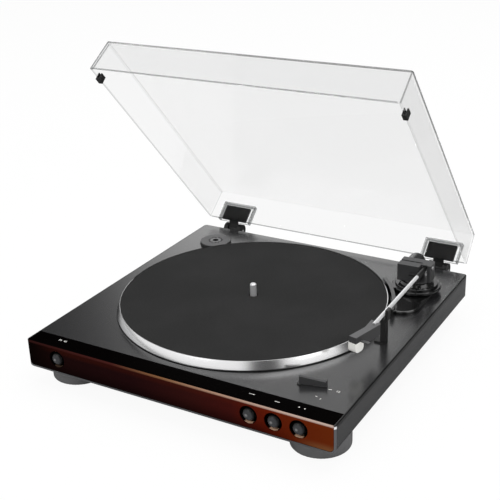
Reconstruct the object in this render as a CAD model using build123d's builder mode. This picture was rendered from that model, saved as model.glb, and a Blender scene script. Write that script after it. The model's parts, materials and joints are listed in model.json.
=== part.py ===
from build123d import *
from math import acos, atan2, cos, degrees, pi, radians, sin, sqrt
import os

# Belt-drive record player with a hinged clear cover, modelled with the cover open and the arm on its rest.
# Millimetres, +X to the right, +Y to the rear, +Z up.
# The origin is on the spindle's axis, in the plane that a record lies on.

# Case
plinth_width = 359.5
plinth_depth = 353.8
plinth_height = 30.8
plinth_corner_radius = 4.0
deck_edge_radius = 0.8
skirt_radius = 6.4
skirt_wall = 4.4
deck_thickness = 3.5
side_wall = 2.8
spindle_across = 0.48053
spindle_from_front = 180.7
record_above_deck = 10.0
fit_gap = 0.1
bottom_cover_thickness = 2.0
boss_radius = 4.5
boss_from_side = 12.0
screw_radius = 1.5
screw_head_radius = 3.0
screw_head_height = 1.6
screw_length = 12.0

# Front panel
panel_thickness = 1.8
panel_border = 1.8
panel_corner_radius = 5.0
panel_edge_radius = 3.0
strip_depth = 21.6
button_drop = 14.5
start_from_right = 90.2
button_spacing = 26.4
speed_from_left = 39.6
well_radius = 9.2
well_wall = 1.4
well_depth = 12.0
well_floor = 1.5
well_chamfer = 0.7

# Buttons
cap_radius = 7.4
cap_length = 6.0
cap_set_back = -1.5
lift_play = 1.2
cap_dome_radius = 5.5
stem_radius = 2.6
stem_length = 15.3
stem_clearance = 0.15
collar_radius = 4.0
collar_length = 1.2
button_travel = 3.0
speed_switch_size = 6.0
speed_switch_length = 8.0

# Feet
foot_radius = 30.2
foot_height = 20.1
foot_taper = 0.5
foot_edge_radius = 1.2
foot_from_side = 35.0
rear_foot_from_side = 46.0
foot_from_front = 41.1
foot_stub_radius = 5.0
foot_pad_radius = 26.0
foot_pad_height = 0.8
foot_pad_inset = 1.0

# Platter, mat and bearing
platter_radius = 151.3
rim_height = 9.0
rim_wall = 3.4
rim_crest = 0.7
rim_slope = 8.2
plate_thickness = 3.0
mat_radius = 147.0
mat_thickness = 3.0
mat_clearance = 0.3
mat_hole_radius = 4.6
belt_ring_radius = 80.0
belt_ring_wall = 2.5
belt_ring_height = 11.0
platter_hub_radius = 9.5
platter_rib_width = 2.5
platter_rib_height = 3.0
platter_ribs = 6
window_radius = 13.0
spindle_radius = 3.57
bearing_radius = 4.0
spindle_above_record = 13.5
spindle_tip_radius = 1.6
bush_radius = 6.0
running_clearance = 0.05
recess_radius = 122.0
recess_depth = 10.0
recess_floor_thickness = 3.0
seat_flange_radius = 9.0
seat_flange_height = 1.5
seat_barrel_radius = 7.0
seat_length = 13.0
washer_radius = 6.5
washer_thickness = 0.8
washer_gap = 0.2

# Gears of the automatic return
tooth_module = 1.0
hub_teeth = 26
cam_teeth = 62
cam_missing_teeth = 7
gear_thickness = 4.0
gear_lift = 1.8
cam_bearing_angle = -60.0
cam_post_radius = 4.0
cam_track_radius = 19.0
cam_track_width = 3.0
cam_track_depth = 1.5
cam_track_offset = 3.0

# Motor and belt
pulley_distance = 104.0
pulley_angle = 135.0
pulley_radius = 5.0
pulley_height = 6.0
pulley_flange = 0.8
belt_width = 4.0
belt_thickness = 0.8
belt_clearance = 0.3
motor_radius = 17.0
motor_height = 10.5
motor_shaft_radius = 1.0
motor_boss_radius = 5.0
motor_hole_radius = 8.0
bracket_thickness = 1.5
grommet_height = 3.0
grommet_radius = 4.5
grommet_distance = 24.0

# Tonearm base
arm_pivot_outside = 33.24
arm_pivot_inset = 1.79
tongue_half_width = 21.4
tongue_reach = 66.0
tongue_height = 4.0
turret_radius = 27.4
turret_foot_inset = 2.0
turret_edge_height = 3.0
turret_top = 4.0
turret_step_radius = 24.0
turret_cap_radius = 17.5
turret_disc_top = -1.0
turret_step_top = 1.5
base_screw_spread = 8.5
base_screw_depth = 2.5
base_hub_radius = 9.0
base_hub_length = 12.0
guard_gap = 0.6
guard_width = 4.0
guard_ahead = 22.9
guard_behind = 7.6
guard_top = -0.6
web_ahead = 3.0
web_behind = 1.5

# Tonearm, in its own turned frame: u to its right, v to its rear, seen at rest
rest_turn = 2.1
rest_tilt = 1.4
arm_axis_height = 20.0
tube_offset = 9.84
tube_radius = 2.0
tube_wall = 0.5
tube_start = 20.0
tube_end = 157.0
sleeve_radius = 2.5
sleeve_back = 6.0
sleeve_front = 29.0
arm_shaft_radius = 3.0
arm_shaft_bottom = -31.0
drive_plate_radius = 26.0
drive_plate_thickness = 1.5
drive_plate_first_angle = 150.0
drive_plate_last_angle = 230.0
yoke_neck_radius = 15.0
yoke_lift = 0.3
block_left = -19.0
block_right = 5.9
block_front = -12.0
block_rear = 10.0
block_bottom = 5.0
yoke_top = 24.4
column_left = 13.2
column_right = 17.4
column_front = -5.5
column_corner_radius = 1.6
bridge_front = -4.0
bridge_bottom = 23.1
weight_edge_radius = 1.0
groove_width = 2.4
groove_depth = 2.0
counterweight_radius = 10.0
counterweight_left = -8.5
counterweight_height = 14.4
counterweight_length = 16.0
pivot_pin_radius = 1.3
pivot_pin_reach = 1.0
pivot_head_radius = 2.6
pivot_head_height = 0.8

# Headshell and cartridge, on the tilted arm: across from the tube's axis and along to the front
shell_top = 0.8
shell_height = 12.0
shell_wall = 1.4
shell_ceiling = 6.8
shell_rear_left = (-5.4, -149.0)
shell_bend = (-5.4, -167.0)
shell_front_left = (-12.2, -190.8)
shell_front_right = (-4.0, -193.0)
shell_rear_right = (6.2, -155.0)
shell_nose_height = 6.6
shell_nose_length = 14.5
head_offset = 15.5
stylus_across = -6.8
stylus_along = -187.0
cartridge_width = 5.0
cartridge_front = -2.8
cartridge_length = 20.0
cartridge_height = 6.0
holder_width = 8.8
holder_front = -5.8
holder_length = 13.0
holder_bottom = -16.2
holder_edge_radius = 4.6
holder_slot = 1.6
stylus_tip = -17.4
stylus_radius = 0.3
stylus_taper = 8.0
cantilever_radius = 0.35
cantilever_height = -15.6
cantilever_length = 5.0
finger_length = 9.5
finger_width = 4.0
finger_thickness = 1.0

# Arm lifter and arm rest
lifter_inner_radius = 16.6
lifter_outer_radius = 20.4
lifter_first_angle = -100.0
lifter_last_angle = -60.0
lifter_thickness = 1.6
lifter_gap = 0.3
lifter_post_radius = 1.8
lifter_post_bottom = -18.0
rest_along = -127.5
rest_post_width = 5.4
rest_post_depth = 8.0
rest_foot_reach = 9.5
rest_foot_depth = 10.0
rest_foot_height = 2.0
cradle_bottom = 17.0
cradle_half_width = 2.2
inner_prong_top = 20.5
outer_prong_top = 28.2
prong_thickness = 2.2
prong_flare = 1.0

# Size selector and loose adapter
selector_from_right = 61.55
selector_from_front = 50.5
selector_turn = 14.3
selector_length = 26.6
selector_height = 8.5
selector_tip_height = 5.0
selector_fin_height = 7.2
selector_fin_length = 1.4
selector_width = 3.0
selector_skirt = 0.8
selector_hub_radius = 2.8
selector_hub_height = 1.2
selector_end = 0.6
selector_lift = 0.3
selector_stub_radius = 2.4
selector_clip_radius = 4.0
selector_clip_height = 1.0
adapter_outside = 7.8
adapter_aim = 3.0
adapter_radius = 19.0
adapter_height = 6.5
adapter_seat_depth = 2.5
adapter_seat_clearance = 0.8
adapter_hole_radius = 3.65
adapter_pin_radius = 3.4
adapter_pin_height = 4.5
adapter_notches = 12
adapter_notch_distance = 8.0
adapter_notch_length = 2.6
adapter_notch_width = 1.4
adapter_notch_depth = 1.0
adapter_edge_radius = 1.0

# Dust cover and hinges
cover_width = 353.0
cover_length = 331.5
cover_height = 38.4
cover_wall = 2.4
cover_side_lean = 1.5
cover_front_lean = 4.6
cover_edge_radius = 1.0
cover_corner_radius = 3.0
cover_open_angle = 48.6
hinge_behind_plinth = 9.9
hinge_below_deck = 4.5
cover_from_hinge = 11.97
cover_above_hinge = 7.31
hinge_half_spacing = 141.0
pocket_width = 46.0
pocket_height = 25.5
pocket_depth = 6.5
pocket_wall = 1.8
leaf_width = 35.0
leaf_height = 19.5
leaf_thickness = 3.6
leaf_rise = 1.0
neck_width = 12.4
knuckle_radius = 5.5
cheek_radius = 8.4
cheek_thickness = 5.4
cheek_clearance = 0.4
hinge_plate_thickness = 2.5
hinge_plate_height = 24.0
hinge_plate_width = 40.0
hinge_plate_top = 1.0
hinge_web_drop = 15.0
hinge_screw_spread = 16.0
hinge_screw_length = 8.3
hinge_pin_radius = 2.0
hinge_pin_end = 0.8
bumper_from_front = 18.0
bumper_length = 8.0
bumper_wall = 1.2
bumper_height = 6.0
bumper_foot = 2.4

# Rear sockets and board
socket_drop = 17.0
output_right = 70.0
output_radius = 1.8
output_barrel_radius = 4.0
output_length = 13.0
output_bore_depth = 12.0
switch_right = 45.0
switch_width = 14.0
switch_height = 7.0
switch_depth = 7.0
slider_width = 4.0
slider_height = 3.0
slider_reach = 1.6
slider_depth = 2.0
slider_travel = 4.0
slider_clearance = 0.2
power_right = 20.0
power_radius = 3.0
power_bore_radius = 2.6
power_bore_depth = 9.0
power_pin_radius = 1.0
power_pin_length = 8.0
power_width = 9.0
power_height = 11.0
power_depth = 13.0
board_width = 80.0
board_depth = 34.0
board_thickness = 1.6
board_drop = 20.0
board_from_wall = 20.0
board_post_inset = 5.0
board_post_radius = 3.0
board_screw_length = 8.0
capacitor_radius = 4.0
capacitor_height = 7.0
chip_length = 14.0
chip_width = 9.0
chip_height = 1.8

# Places worked out from the sizes above
left_side = -spindle_across * plinth_width
right_side = left_side + plinth_width
front_face = -spindle_from_front
rear_face = front_face + plinth_depth
middle_x = (left_side + right_side) / 2
middle_y = (front_face + rear_face) / 2
deck_top = -record_above_deck
deck_under = deck_top - deck_thickness
plinth_bottom = deck_top - plinth_height
cover_plate_top = plinth_bottom + bottom_cover_thickness
recess_floor = deck_top - recess_depth
recess_under = recess_floor - recess_floor_thickness
plate_top = -mat_thickness
plate_under = plate_top - plate_thickness
front_inside = front_face + panel_thickness + side_wall
cavity_width = plinth_width - 2 * skirt_wall
cavity_depth = rear_face - side_wall - front_inside
cavity_middle_y = (front_inside + rear_face - side_wall) / 2
front_plane = Plane(origin=(0, front_face, 0), x_dir=(1, 0, 0), z_dir=(0, -1, 0))
rear_plane = Plane(origin=(0, rear_face, 0), x_dir=(1, 0, 0), z_dir=(0, -1, 0))

button_height = deck_top - button_drop
start_place = (right_side - start_from_right, button_height)
stop_place = (start_place[0] + button_spacing, button_height)
lift_place = (stop_place[0] + button_spacing, button_height)
speed_place = (left_side + speed_from_left, button_height)
button_places = (speed_place, start_place, stop_place, lift_place)

boss_x = plinth_width / 2 - boss_from_side
boss_y = plinth_depth / 2 - boss_from_side
boss_places = [(middle_x + sx * boss_x, middle_y + sy * boss_y) for sx in (-1, 0, 1) for sy in (-1, 1)]
boss_places += [(middle_x + sx * boss_x, middle_y) for sx in (-1, 1)]
foot_x = plinth_width / 2 - foot_from_side
foot_y = plinth_depth / 2 - foot_from_front
rear_foot_x = plinth_width / 2 - rear_foot_from_side
foot_places = [(middle_x + sx * foot_x, middle_y - foot_y) for sx in (-1, 1)]
foot_places += [(middle_x + sx * rear_foot_x, middle_y + foot_y) for sx in (-1, 1)]

pulley_place = (pulley_distance * cos(radians(pulley_angle)), pulley_distance * sin(radians(pulley_angle)))
grommet_places = [
    (
        pulley_place[0] + grommet_distance * cos(radians(pulley_angle + turn)),
        pulley_place[1] + grommet_distance * sin(radians(pulley_angle + turn)),
    )
    for turn in (0, 120, 240)
]
bracket_top = recess_under - grommet_height
bracket_under = bracket_top - bracket_thickness
belt_middle = recess_floor + (plate_under - recess_floor) / 2
cam_distance = tooth_module * (hub_teeth + cam_teeth) / 2
cam_place = (cam_distance * cos(radians(cam_bearing_angle)), cam_distance * sin(radians(cam_bearing_angle)))
gear_bottom = recess_floor + gear_lift
washer_bottom = recess_floor + seat_flange_height
bush_bottom = washer_bottom + washer_thickness + washer_gap
# The arm's pivot stands at its distance from the spindle, a little inside the platter's right-hand edge
pivot_distance = platter_radius + arm_pivot_outside
arm_pivot_right = platter_radius - arm_pivot_inset
arm_pivot_back = sqrt(pivot_distance**2 - arm_pivot_right**2)
pivot_angle = degrees(acos(arm_pivot_right / pivot_distance))
tongue_front = arm_pivot_back - tongue_reach
base_screw_places = [
    (arm_pivot_right + side * base_screw_spread, tongue_front + tongue_half_width) for side in (-1, 1)
]
slider_slot_width = slider_width + slider_travel + 4 * slider_clearance
adapter_seat_radius = adapter_radius + adapter_seat_clearance
adapter_distance = platter_radius + adapter_outside + adapter_seat_radius
adapter_angle = atan2(rear_face - adapter_aim, left_side)
adapter_place = (adapter_distance * cos(adapter_angle), adapter_distance * sin(adapter_angle))
adapter_floor = deck_top - adapter_seat_depth
selector_place = (right_side - selector_from_right, front_face + selector_from_front)
board_place = (middle_x, rear_face - side_wall - board_from_wall - board_depth / 2)
board_under = deck_under - board_drop
board_post_y = board_depth / 2 - board_post_inset
board_posts = [
    (board_place[0] + sx * (board_width / 2 - board_post_inset), board_place[1] + sy * board_post_y)
    for sx in (-1, 1)
    for sy in (-1, 1)
]
socket_height = deck_top - socket_drop

# The arm's frame turns about the pivot; the tilted frame rises towards the headshell from the cross axis
arm_right = (cos(radians(rest_turn)), sin(radians(rest_turn)), 0)
arm_plane = Plane(origin=(arm_pivot_right, arm_pivot_back, 0), x_dir=arm_right, z_dir=(0, 0, 1))
cross_axis_point = arm_plane.from_local_coords(Vector(tube_offset, 0, arm_axis_height))
tube_direction = Vector(
    sin(radians(rest_turn)) * cos(radians(rest_tilt)),
    -cos(radians(rest_turn)) * cos(radians(rest_tilt)),
    sin(radians(rest_tilt)),
)
tube_plane = Plane(origin=cross_axis_point, x_dir=arm_right, z_dir=tube_direction)
head_plane = Plane(origin=cross_axis_point, x_dir=arm_right, z_dir=tube_plane.y_dir)
cross_plane = Plane(origin=cross_axis_point, x_dir=(-arm_right[1], arm_right[0], 0), z_dir=arm_right)
stylus_plane = Plane(
    origin=head_plane.from_local_coords(Vector(stylus_across, stylus_along, 0)),
    x_dir=head_plane.x_dir.rotate(Axis((0, 0, 0), head_plane.z_dir), -head_offset),
    z_dir=head_plane.z_dir,
)
lifter_radius = (lifter_inner_radius + lifter_outer_radius) / 2
lifter_middle = radians((lifter_first_angle + lifter_last_angle) / 2)
lifter_post_place = (lifter_radius * cos(lifter_middle), lifter_radius * sin(lifter_middle))
lifter_top = arm_axis_height + lifter_radius * sin(radians(rest_tilt)) - sleeve_radius - lifter_gap

# The cover's frame is turned open about the hinge axis; in it the cover lies as when closed
hinge_y = rear_face + hinge_behind_plinth
hinge_z = deck_top - hinge_below_deck
open_turn = radians(cover_open_angle)
cover_plane = Plane(
    origin=(middle_x, hinge_y, hinge_z),
    x_dir=(1, 0, 0),
    z_dir=(0, sin(open_turn), cos(open_turn)),
)
cover_rear = -cover_from_hinge
cover_middle = cover_rear - cover_length / 2
cover_top_width = cover_width - 2 * cover_side_lean
cover_top_length = cover_length - cover_front_lean
cover_top_middle = cover_rear - cover_top_length / 2
hinge_places = (-hinge_half_spacing, hinge_half_spacing)
bumper_place = cover_rear - cover_length + bumper_from_front + bumper_length / 2
leaf_bottom = cover_above_hinge + leaf_rise
hinge_screw_places = [
    (middle_x + place + side * hinge_screw_spread, hinge_z + hinge_plate_top - hinge_plate_height / 2)
    for place in hinge_places
    for side in (-1, 1)
]


def ring_sector(inner, outer, first, last):
    """Adds to the open sketch the part of a ring between two angles in degrees."""
    with BuildLine() as sector:
        far_arc = CenterArc((0, 0), outer, first, last - first)
        near_arc = CenterArc((0, 0), inner, first, last - first)
        Line(far_arc @ 0, near_arc @ 0)
        Line(far_arc @ 1, near_arc @ 1)
    make_face(sector.edges())


def gear_outline(teeth, missing=0):
    """Corner points of a spur gear with straight-sided teeth; the missing teeth lie about the angle 0."""
    pitch_radius = tooth_module * teeth / 2
    tip = pitch_radius + tooth_module
    root = pitch_radius - 1.25 * tooth_module
    step = 2 * pi / teeth
    points = []
    for tooth in range(teeth):
        middle = step * (tooth + (missing + 1) / 2)
        corners = ((root, -0.36), (tip, -0.13), (tip, 0.13), (root, 0.36))
        if tooth >= teeth - missing:
            continue
        points += [(r * cos(middle + share * step), r * sin(middle + share * step)) for r, share in corners]
    return points


def push_button(place, play):
    """One domed push button; its stem slides in its well's floor, and its collar stops it after the play."""
    with BuildPart() as button:
        with BuildSketch(front_plane.offset(-cap_set_back)):
            with Locations(place):
                Circle(cap_radius)
        extrude(amount=-cap_length)
        fillet(button.edges().sort_by(Axis.Y)[0], cap_dome_radius)
        with BuildSketch(front_plane.offset(-cap_set_back - cap_length)):
            with Locations(place):
                Circle(stem_radius)
        extrude(amount=-stem_length)
        with BuildSketch(front_plane.offset(-well_depth - stem_clearance - play)):
            with Locations(place):
                Circle(collar_radius)
        extrude(amount=-collar_length)
    return button


with BuildPart() as plinth:
    with BuildSketch(Plane.XY.offset(plinth_bottom)):
        with Locations((middle_x, middle_y)):
            RectangleRounded(plinth_width, plinth_depth, plinth_corner_radius)
    extrude(amount=plinth_height)
    with BuildSketch(front_plane) as skirt_outline:
        with Locations((middle_x, (plinth_bottom + deck_top) / 2)):
            Rectangle(plinth_width, plinth_height)
        fillet(skirt_outline.vertices().group_by(Axis.Y)[0], skirt_radius)
    extrude(amount=-plinth_depth, mode=Mode.INTERSECT)
    fillet(plinth.faces().sort_by(Axis.Z)[-1].edges(), deck_edge_radius)
    with BuildSketch(Plane.XY.offset(plinth_bottom)):
        with Locations((middle_x, cavity_middle_y)):
            Rectangle(cavity_width, cavity_depth)
    extrude(amount=plinth_height - deck_thickness, mode=Mode.SUBTRACT)
    # Platter recess, screw bosses and the seat of the loose adapter hang from the deck
    with BuildSketch(Plane.XY.offset(recess_under)):
        Circle(recess_radius + side_wall)
    extrude(amount=deck_under - recess_under)
    with BuildSketch(Plane.XY.offset(cover_plate_top)):
        with Locations(*boss_places):
            Circle(boss_radius)
    extrude(amount=deck_under - cover_plate_top)
    with BuildSketch(Plane.XY.offset(board_under + board_thickness)):
        with Locations(*board_posts):
            Circle(board_post_radius)
    extrude(amount=deck_under - board_under - board_thickness)
    with BuildSketch(Plane.XY.offset(adapter_floor - side_wall)):
        with Locations(adapter_place):
            Circle(adapter_seat_radius + side_wall)
    extrude(amount=deck_under - adapter_floor + side_wall)
    with BuildSketch(Plane.XY.offset(recess_floor)):
        Circle(recess_radius)
    extrude(amount=recess_depth, mode=Mode.SUBTRACT)
    with BuildSketch(Plane.XY.offset(adapter_floor)):
        with Locations(adapter_place):
            Circle(adapter_seat_radius)
    extrude(amount=adapter_seat_depth, mode=Mode.SUBTRACT)
    with BuildSketch(Plane.XY.offset(adapter_floor)):
        with Locations(adapter_place):
            Circle(adapter_pin_radius)
    extrude(amount=adapter_pin_height)
    with BuildSketch(Plane.XY.offset(recess_floor)):
        with Locations(cam_place):
            Circle(cam_post_radius)
    extrude(amount=gear_lift + gear_thickness)
    with BuildSketch(Plane.XY.offset(recess_floor)):
        with Locations(cam_place):
            Circle(cam_post_radius + side_wall)
    extrude(amount=gear_lift - washer_gap)
    # Holes for the bearing seat, motor and its screws, arm base, lifter, selector and case screws
    with BuildSketch(Plane.XY.offset(recess_under)):
        Circle(seat_barrel_radius + fit_gap)
        with Locations(pulley_place):
            Circle(motor_hole_radius)
        with Locations(*grommet_places):
            Circle(screw_radius + fit_gap)
    extrude(amount=recess_floor_thickness, mode=Mode.SUBTRACT)
    with BuildSketch(arm_plane.offset(deck_under)):
        Circle(base_hub_radius + fit_gap)
        with Locations(lifter_post_place):
            Circle(lifter_post_radius + 2 * fit_gap)
    extrude(amount=deck_thickness, mode=Mode.SUBTRACT)
    with BuildSketch(Plane.XY.offset(deck_under)):
        with Locations(selector_place):
            Circle(selector_stub_radius + fit_gap)
        with Locations(*base_screw_places):
            Circle(screw_radius + fit_gap)
    extrude(amount=deck_thickness, mode=Mode.SUBTRACT)
    with BuildSketch(Plane.XY.offset(cover_plate_top)):
        with Locations(*boss_places):
            Circle(screw_radius + fit_gap)
    extrude(amount=screw_length, mode=Mode.SUBTRACT)
    with BuildSketch(Plane.XY.offset(board_under + board_thickness)):
        with Locations(*board_posts):
            Circle(screw_radius + fit_gap)
    extrude(amount=board_screw_length, mode=Mode.SUBTRACT)
    # Rebate for the front panel, and the openings for its button wells
    with BuildSketch(front_plane) as rebate_face:
        with Locations((middle_x, (plinth_bottom + panel_border + deck_top) / 2)):
            Rectangle(plinth_width - 2 * panel_border, plinth_height - panel_border)
        fillet(rebate_face.vertices().group_by(Axis.Y)[0], panel_corner_radius)
    extrude(amount=-panel_thickness, mode=Mode.SUBTRACT)
    with BuildSketch(Plane.XY.offset(deck_top - panel_thickness)):
        with Locations((middle_x, front_face + strip_depth / 2)):
            Rectangle(plinth_width - 2 * panel_border, strip_depth)
    extrude(amount=panel_thickness, mode=Mode.SUBTRACT)
    with BuildSketch(front_plane):
        with Locations(*button_places):
            Circle(well_radius + well_wall + fit_gap)
    extrude(amount=-(panel_thickness + side_wall), mode=Mode.SUBTRACT)
    # Socket openings in the rear wall
    with BuildSketch(rear_plane):
        with Locations((output_right, socket_height)):
            Circle(output_barrel_radius + fit_gap)
        with Locations((switch_right, socket_height)):
            Rectangle(slider_slot_width, slider_height + 2 * slider_clearance)
        with Locations((power_right, socket_height)):
            Circle(power_radius + fit_gap)
        with Locations(*hinge_screw_places):
            Circle(screw_radius + fit_gap)
    extrude(amount=side_wall, mode=Mode.SUBTRACT)

with BuildPart() as bottom_cover:
    with BuildSketch(Plane.XY.offset(plinth_bottom)):
        with Locations((middle_x, cavity_middle_y)):
            Rectangle(cavity_width - 2 * fit_gap, cavity_depth - 2 * fit_gap)
        with Locations(*boss_places):
            Circle(screw_radius + fit_gap, mode=Mode.SUBTRACT)
        with Locations(*foot_places):
            Circle(foot_stub_radius + fit_gap, mode=Mode.SUBTRACT)
    extrude(amount=bottom_cover_thickness)

with BuildPart() as front_panel:
    with BuildSketch(front_plane) as panel_face:
        with Locations((middle_x, (plinth_bottom + panel_border + deck_top) / 2)):
            Rectangle(plinth_width - 2 * panel_border - 2 * fit_gap, plinth_height - panel_border)
        fillet(panel_face.vertices().group_by(Axis.Y)[0], panel_corner_radius)
    extrude(amount=-panel_thickness)
    with BuildSketch(Plane.XY.offset(deck_top - panel_thickness)):
        with Locations((middle_x, front_face + (strip_depth - fit_gap) / 2)):
            Rectangle(plinth_width - 2 * panel_border - 2 * fit_gap, strip_depth - fit_gap)
    extrude(amount=panel_thickness)
    top_front_edge = front_panel.edges().filter_by(Axis.X).group_by(Axis.Z)[-1].sort_by(Axis.Y)[0]
    fillet(top_front_edge, panel_edge_radius)
    with BuildSketch(front_plane.offset(-panel_thickness / 2)):
        with Locations(*button_places):
            Circle(well_radius + well_wall)
    extrude(amount=-(well_depth - panel_thickness / 2))
    with BuildSketch(front_plane):
        with Locations(*button_places):
            Circle(well_radius)
    extrude(amount=-(well_depth - well_floor), mode=Mode.SUBTRACT)
    with BuildSketch(front_plane):
        with Locations(*button_places):
            Circle(stem_radius + stem_clearance)
    extrude(amount=-well_depth, mode=Mode.SUBTRACT)
    well_mouths = front_panel.edges().filter_by(GeomType.CIRCLE).group_by(Axis.Y)[0]
    chamfer(well_mouths, well_chamfer)

start_button = push_button(start_place, 0)
stop_button = push_button(stop_place, 0)
lift_button = push_button(lift_place, lift_play)
speed_button = push_button(speed_place, 0)

with BuildPart() as speed_switch:
    switch_start = cap_set_back + cap_length + stem_length + button_travel + stem_clearance
    with BuildSketch(front_plane.offset(-switch_start)):
        with Locations(speed_place):
            Circle(stem_radius)
    extrude(amount=-stem_radius)
    with BuildSketch(front_plane.offset(-switch_start - stem_radius)):
        with Locations((speed_place[0], (deck_under + speed_place[1] - speed_switch_size) / 2)):
            Rectangle(2 * speed_switch_size, deck_under - speed_place[1] + speed_switch_size)
    extrude(amount=-speed_switch_length)

with BuildPart() as feet:
    with BuildSketch(Plane.XY.offset(plinth_bottom)):
        with Locations(*foot_places):
            Circle(foot_radius)
    extrude(amount=-foot_height, taper=foot_taper)
    fillet(feet.edges().group_by(Axis.Z)[0], foot_edge_radius)
    with BuildSketch(Plane.XY.offset(plinth_bottom - foot_height)):
        with Locations(*foot_places):
            Circle(foot_pad_radius)
    extrude(amount=foot_pad_inset, mode=Mode.SUBTRACT)
    with BuildSketch(Plane.XY.offset(plinth_bottom)):
        with Locations(*foot_places):
            Circle(foot_stub_radius)
    extrude(amount=bottom_cover_thickness)

with BuildPart() as foot_pads:
    with BuildSketch(Plane.XY.offset(plinth_bottom - foot_height - foot_pad_height)):
        with Locations(*foot_places):
            Circle(foot_pad_radius - fit_gap)
    extrude(amount=foot_pad_height + foot_pad_inset)
    chamfer(foot_pads.edges().group_by(Axis.Z)[0], foot_pad_height / 2)

with BuildPart() as case_screws:
    with BuildSketch(Plane.XY.offset(plinth_bottom)):
        with Locations(*boss_places):
            Circle(screw_radius)
    extrude(amount=screw_length)
    with BuildSketch(Plane.XY.offset(plinth_bottom - screw_head_height)):
        with Locations(*boss_places):
            Circle(screw_head_radius)
    extrude(amount=screw_head_height)

with BuildPart() as spindle:
    with BuildSketch(Plane.XY.offset(recess_floor - seat_length)):
        Circle(bearing_radius)
    extrude(amount=plate_top - recess_floor + seat_length)
    with BuildSketch(Plane.XY.offset(plate_top)):
        Circle(spindle_radius)
    extrude(amount=spindle_above_record - plate_top)
    fillet(spindle.edges().sort_by(Axis.Z)[-1], spindle_tip_radius)

with BuildPart() as bearing_seat:
    with BuildSketch(Plane.XY.offset(recess_floor)):
        Circle(seat_flange_radius)
    extrude(amount=seat_flange_height)
    with BuildSketch(Plane.XY.offset(recess_floor - seat_length)):
        Circle(seat_barrel_radius)
    extrude(amount=seat_length)
    with BuildSketch(Plane.XY.offset(recess_floor - seat_length)):
        Circle(bearing_radius)
    extrude(amount=seat_length + seat_flange_height, mode=Mode.SUBTRACT)

with BuildPart() as thrust_washer:
    with BuildSketch(Plane.XY.offset(washer_bottom)):
        Circle(washer_radius)
        Circle(bearing_radius + running_clearance, mode=Mode.SUBTRACT)
    extrude(amount=washer_thickness)

with BuildPart() as platter:
    rim_inner = platter_radius - rim_wall
    ring_inner = belt_ring_radius - belt_ring_wall
    ring_bottom = plate_under - belt_ring_height
    lip_inner = mat_radius + mat_clearance
    with BuildSketch(Plane.XZ):
        with BuildLine():
            Polyline(
                (bush_radius, plate_top),
                (lip_inner, plate_top),
                (lip_inner, 0),
                (lip_inner + rim_crest, 0),
                (platter_radius, -rim_slope),
                (platter_radius, -rim_height),
                (rim_inner, -rim_height),
                (rim_inner, plate_under),
                (belt_ring_radius, plate_under),
                (belt_ring_radius, ring_bottom),
                (ring_inner, ring_bottom),
                (ring_inner, plate_under),
                (platter_hub_radius, plate_under),
                (platter_hub_radius, bush_bottom),
                (bush_radius, bush_bottom),
                close=True,
            )
        make_face()
    revolve(axis=Axis.Z)
    rib_length = ring_inner - platter_hub_radius + belt_ring_wall
    with BuildSketch(Plane.XY.offset(plate_under - platter_rib_height)):
        with PolarLocations(platter_hub_radius + (rib_length - belt_ring_wall) / 2, platter_ribs):
            Rectangle(rib_length, platter_rib_width)
    extrude(amount=platter_rib_height)
    with BuildSketch(Plane.XY.offset(plate_under)):
        with PolarLocations(pulley_distance, 2, start_angle=pulley_angle):
            Circle(window_radius)
    extrude(amount=plate_thickness, mode=Mode.SUBTRACT)

with BuildPart() as platter_bush:
    with BuildSketch(Plane.XY.offset(bush_bottom)):
        Circle(bush_radius)
        Circle(bearing_radius + running_clearance, mode=Mode.SUBTRACT)
    extrude(amount=plate_top - bush_bottom)

with BuildPart() as hub_gear:
    with BuildSketch(Plane.XY.offset(gear_bottom)):
        with BuildLine():
            Polyline(*gear_outline(hub_teeth), close=True)
        make_face()
        Circle(platter_hub_radius, mode=Mode.SUBTRACT)
    extrude(amount=gear_thickness)

with BuildPart() as platter_mat:
    with BuildSketch(Plane.XY.offset(plate_top)):
        Circle(mat_radius)
        Circle(mat_hole_radius, mode=Mode.SUBTRACT)
    extrude(amount=mat_thickness)

with BuildPart() as cam_gear:
    cam_plane = Plane(
        origin=(*cam_place, recess_floor + gear_lift),
        x_dir=(-cos(radians(cam_bearing_angle)), -sin(radians(cam_bearing_angle)), 0),
        z_dir=(0, 0, 1),
    )
    with BuildSketch(cam_plane):
        with BuildLine():
            Polyline(*gear_outline(cam_teeth, cam_missing_teeth), close=True)
        make_face()
        Circle(cam_post_radius + running_clearance, mode=Mode.SUBTRACT)
    extrude(amount=gear_thickness)
    with BuildSketch(cam_plane.offset(gear_thickness)):
        with Locations((-cam_track_offset, 0)):
            Circle(cam_track_radius)
            Circle(cam_track_radius - cam_track_width, mode=Mode.SUBTRACT)
    extrude(amount=-cam_track_depth, mode=Mode.SUBTRACT)

with BuildPart() as motor:
    with BuildSketch(Plane.XY.offset(bracket_under - motor_height)):
        with Locations(pulley_place):
            Circle(motor_radius)
    extrude(amount=motor_height)
    fillet(motor.edges().group_by(Axis.Z)[0], panel_edge_radius)
    with BuildSketch(Plane.XY.offset(bracket_under)):
        with Locations(pulley_place):
            Circle(motor_boss_radius)
    extrude(amount=bracket_thickness)
    with BuildSketch(Plane.XY.offset(bracket_under)):
        with Locations(pulley_place):
            Circle(motor_shaft_radius + running_clearance)
    extrude(amount=bracket_thickness, mode=Mode.SUBTRACT)

with BuildPart() as motor_bracket:
    with BuildSketch(Plane.XY.offset(bracket_under)):
        with BuildLine() as bracket_ends:
            for place in grommet_places:
                CenterArc(place, grommet_radius, 0, 360)
        make_hull(bracket_ends.edges())
        with Locations(pulley_place):
            Circle(motor_boss_radius + fit_gap, mode=Mode.SUBTRACT)
        with Locations(*grommet_places):
            Circle(screw_radius + fit_gap, mode=Mode.SUBTRACT)
    extrude(amount=bracket_thickness)

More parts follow.
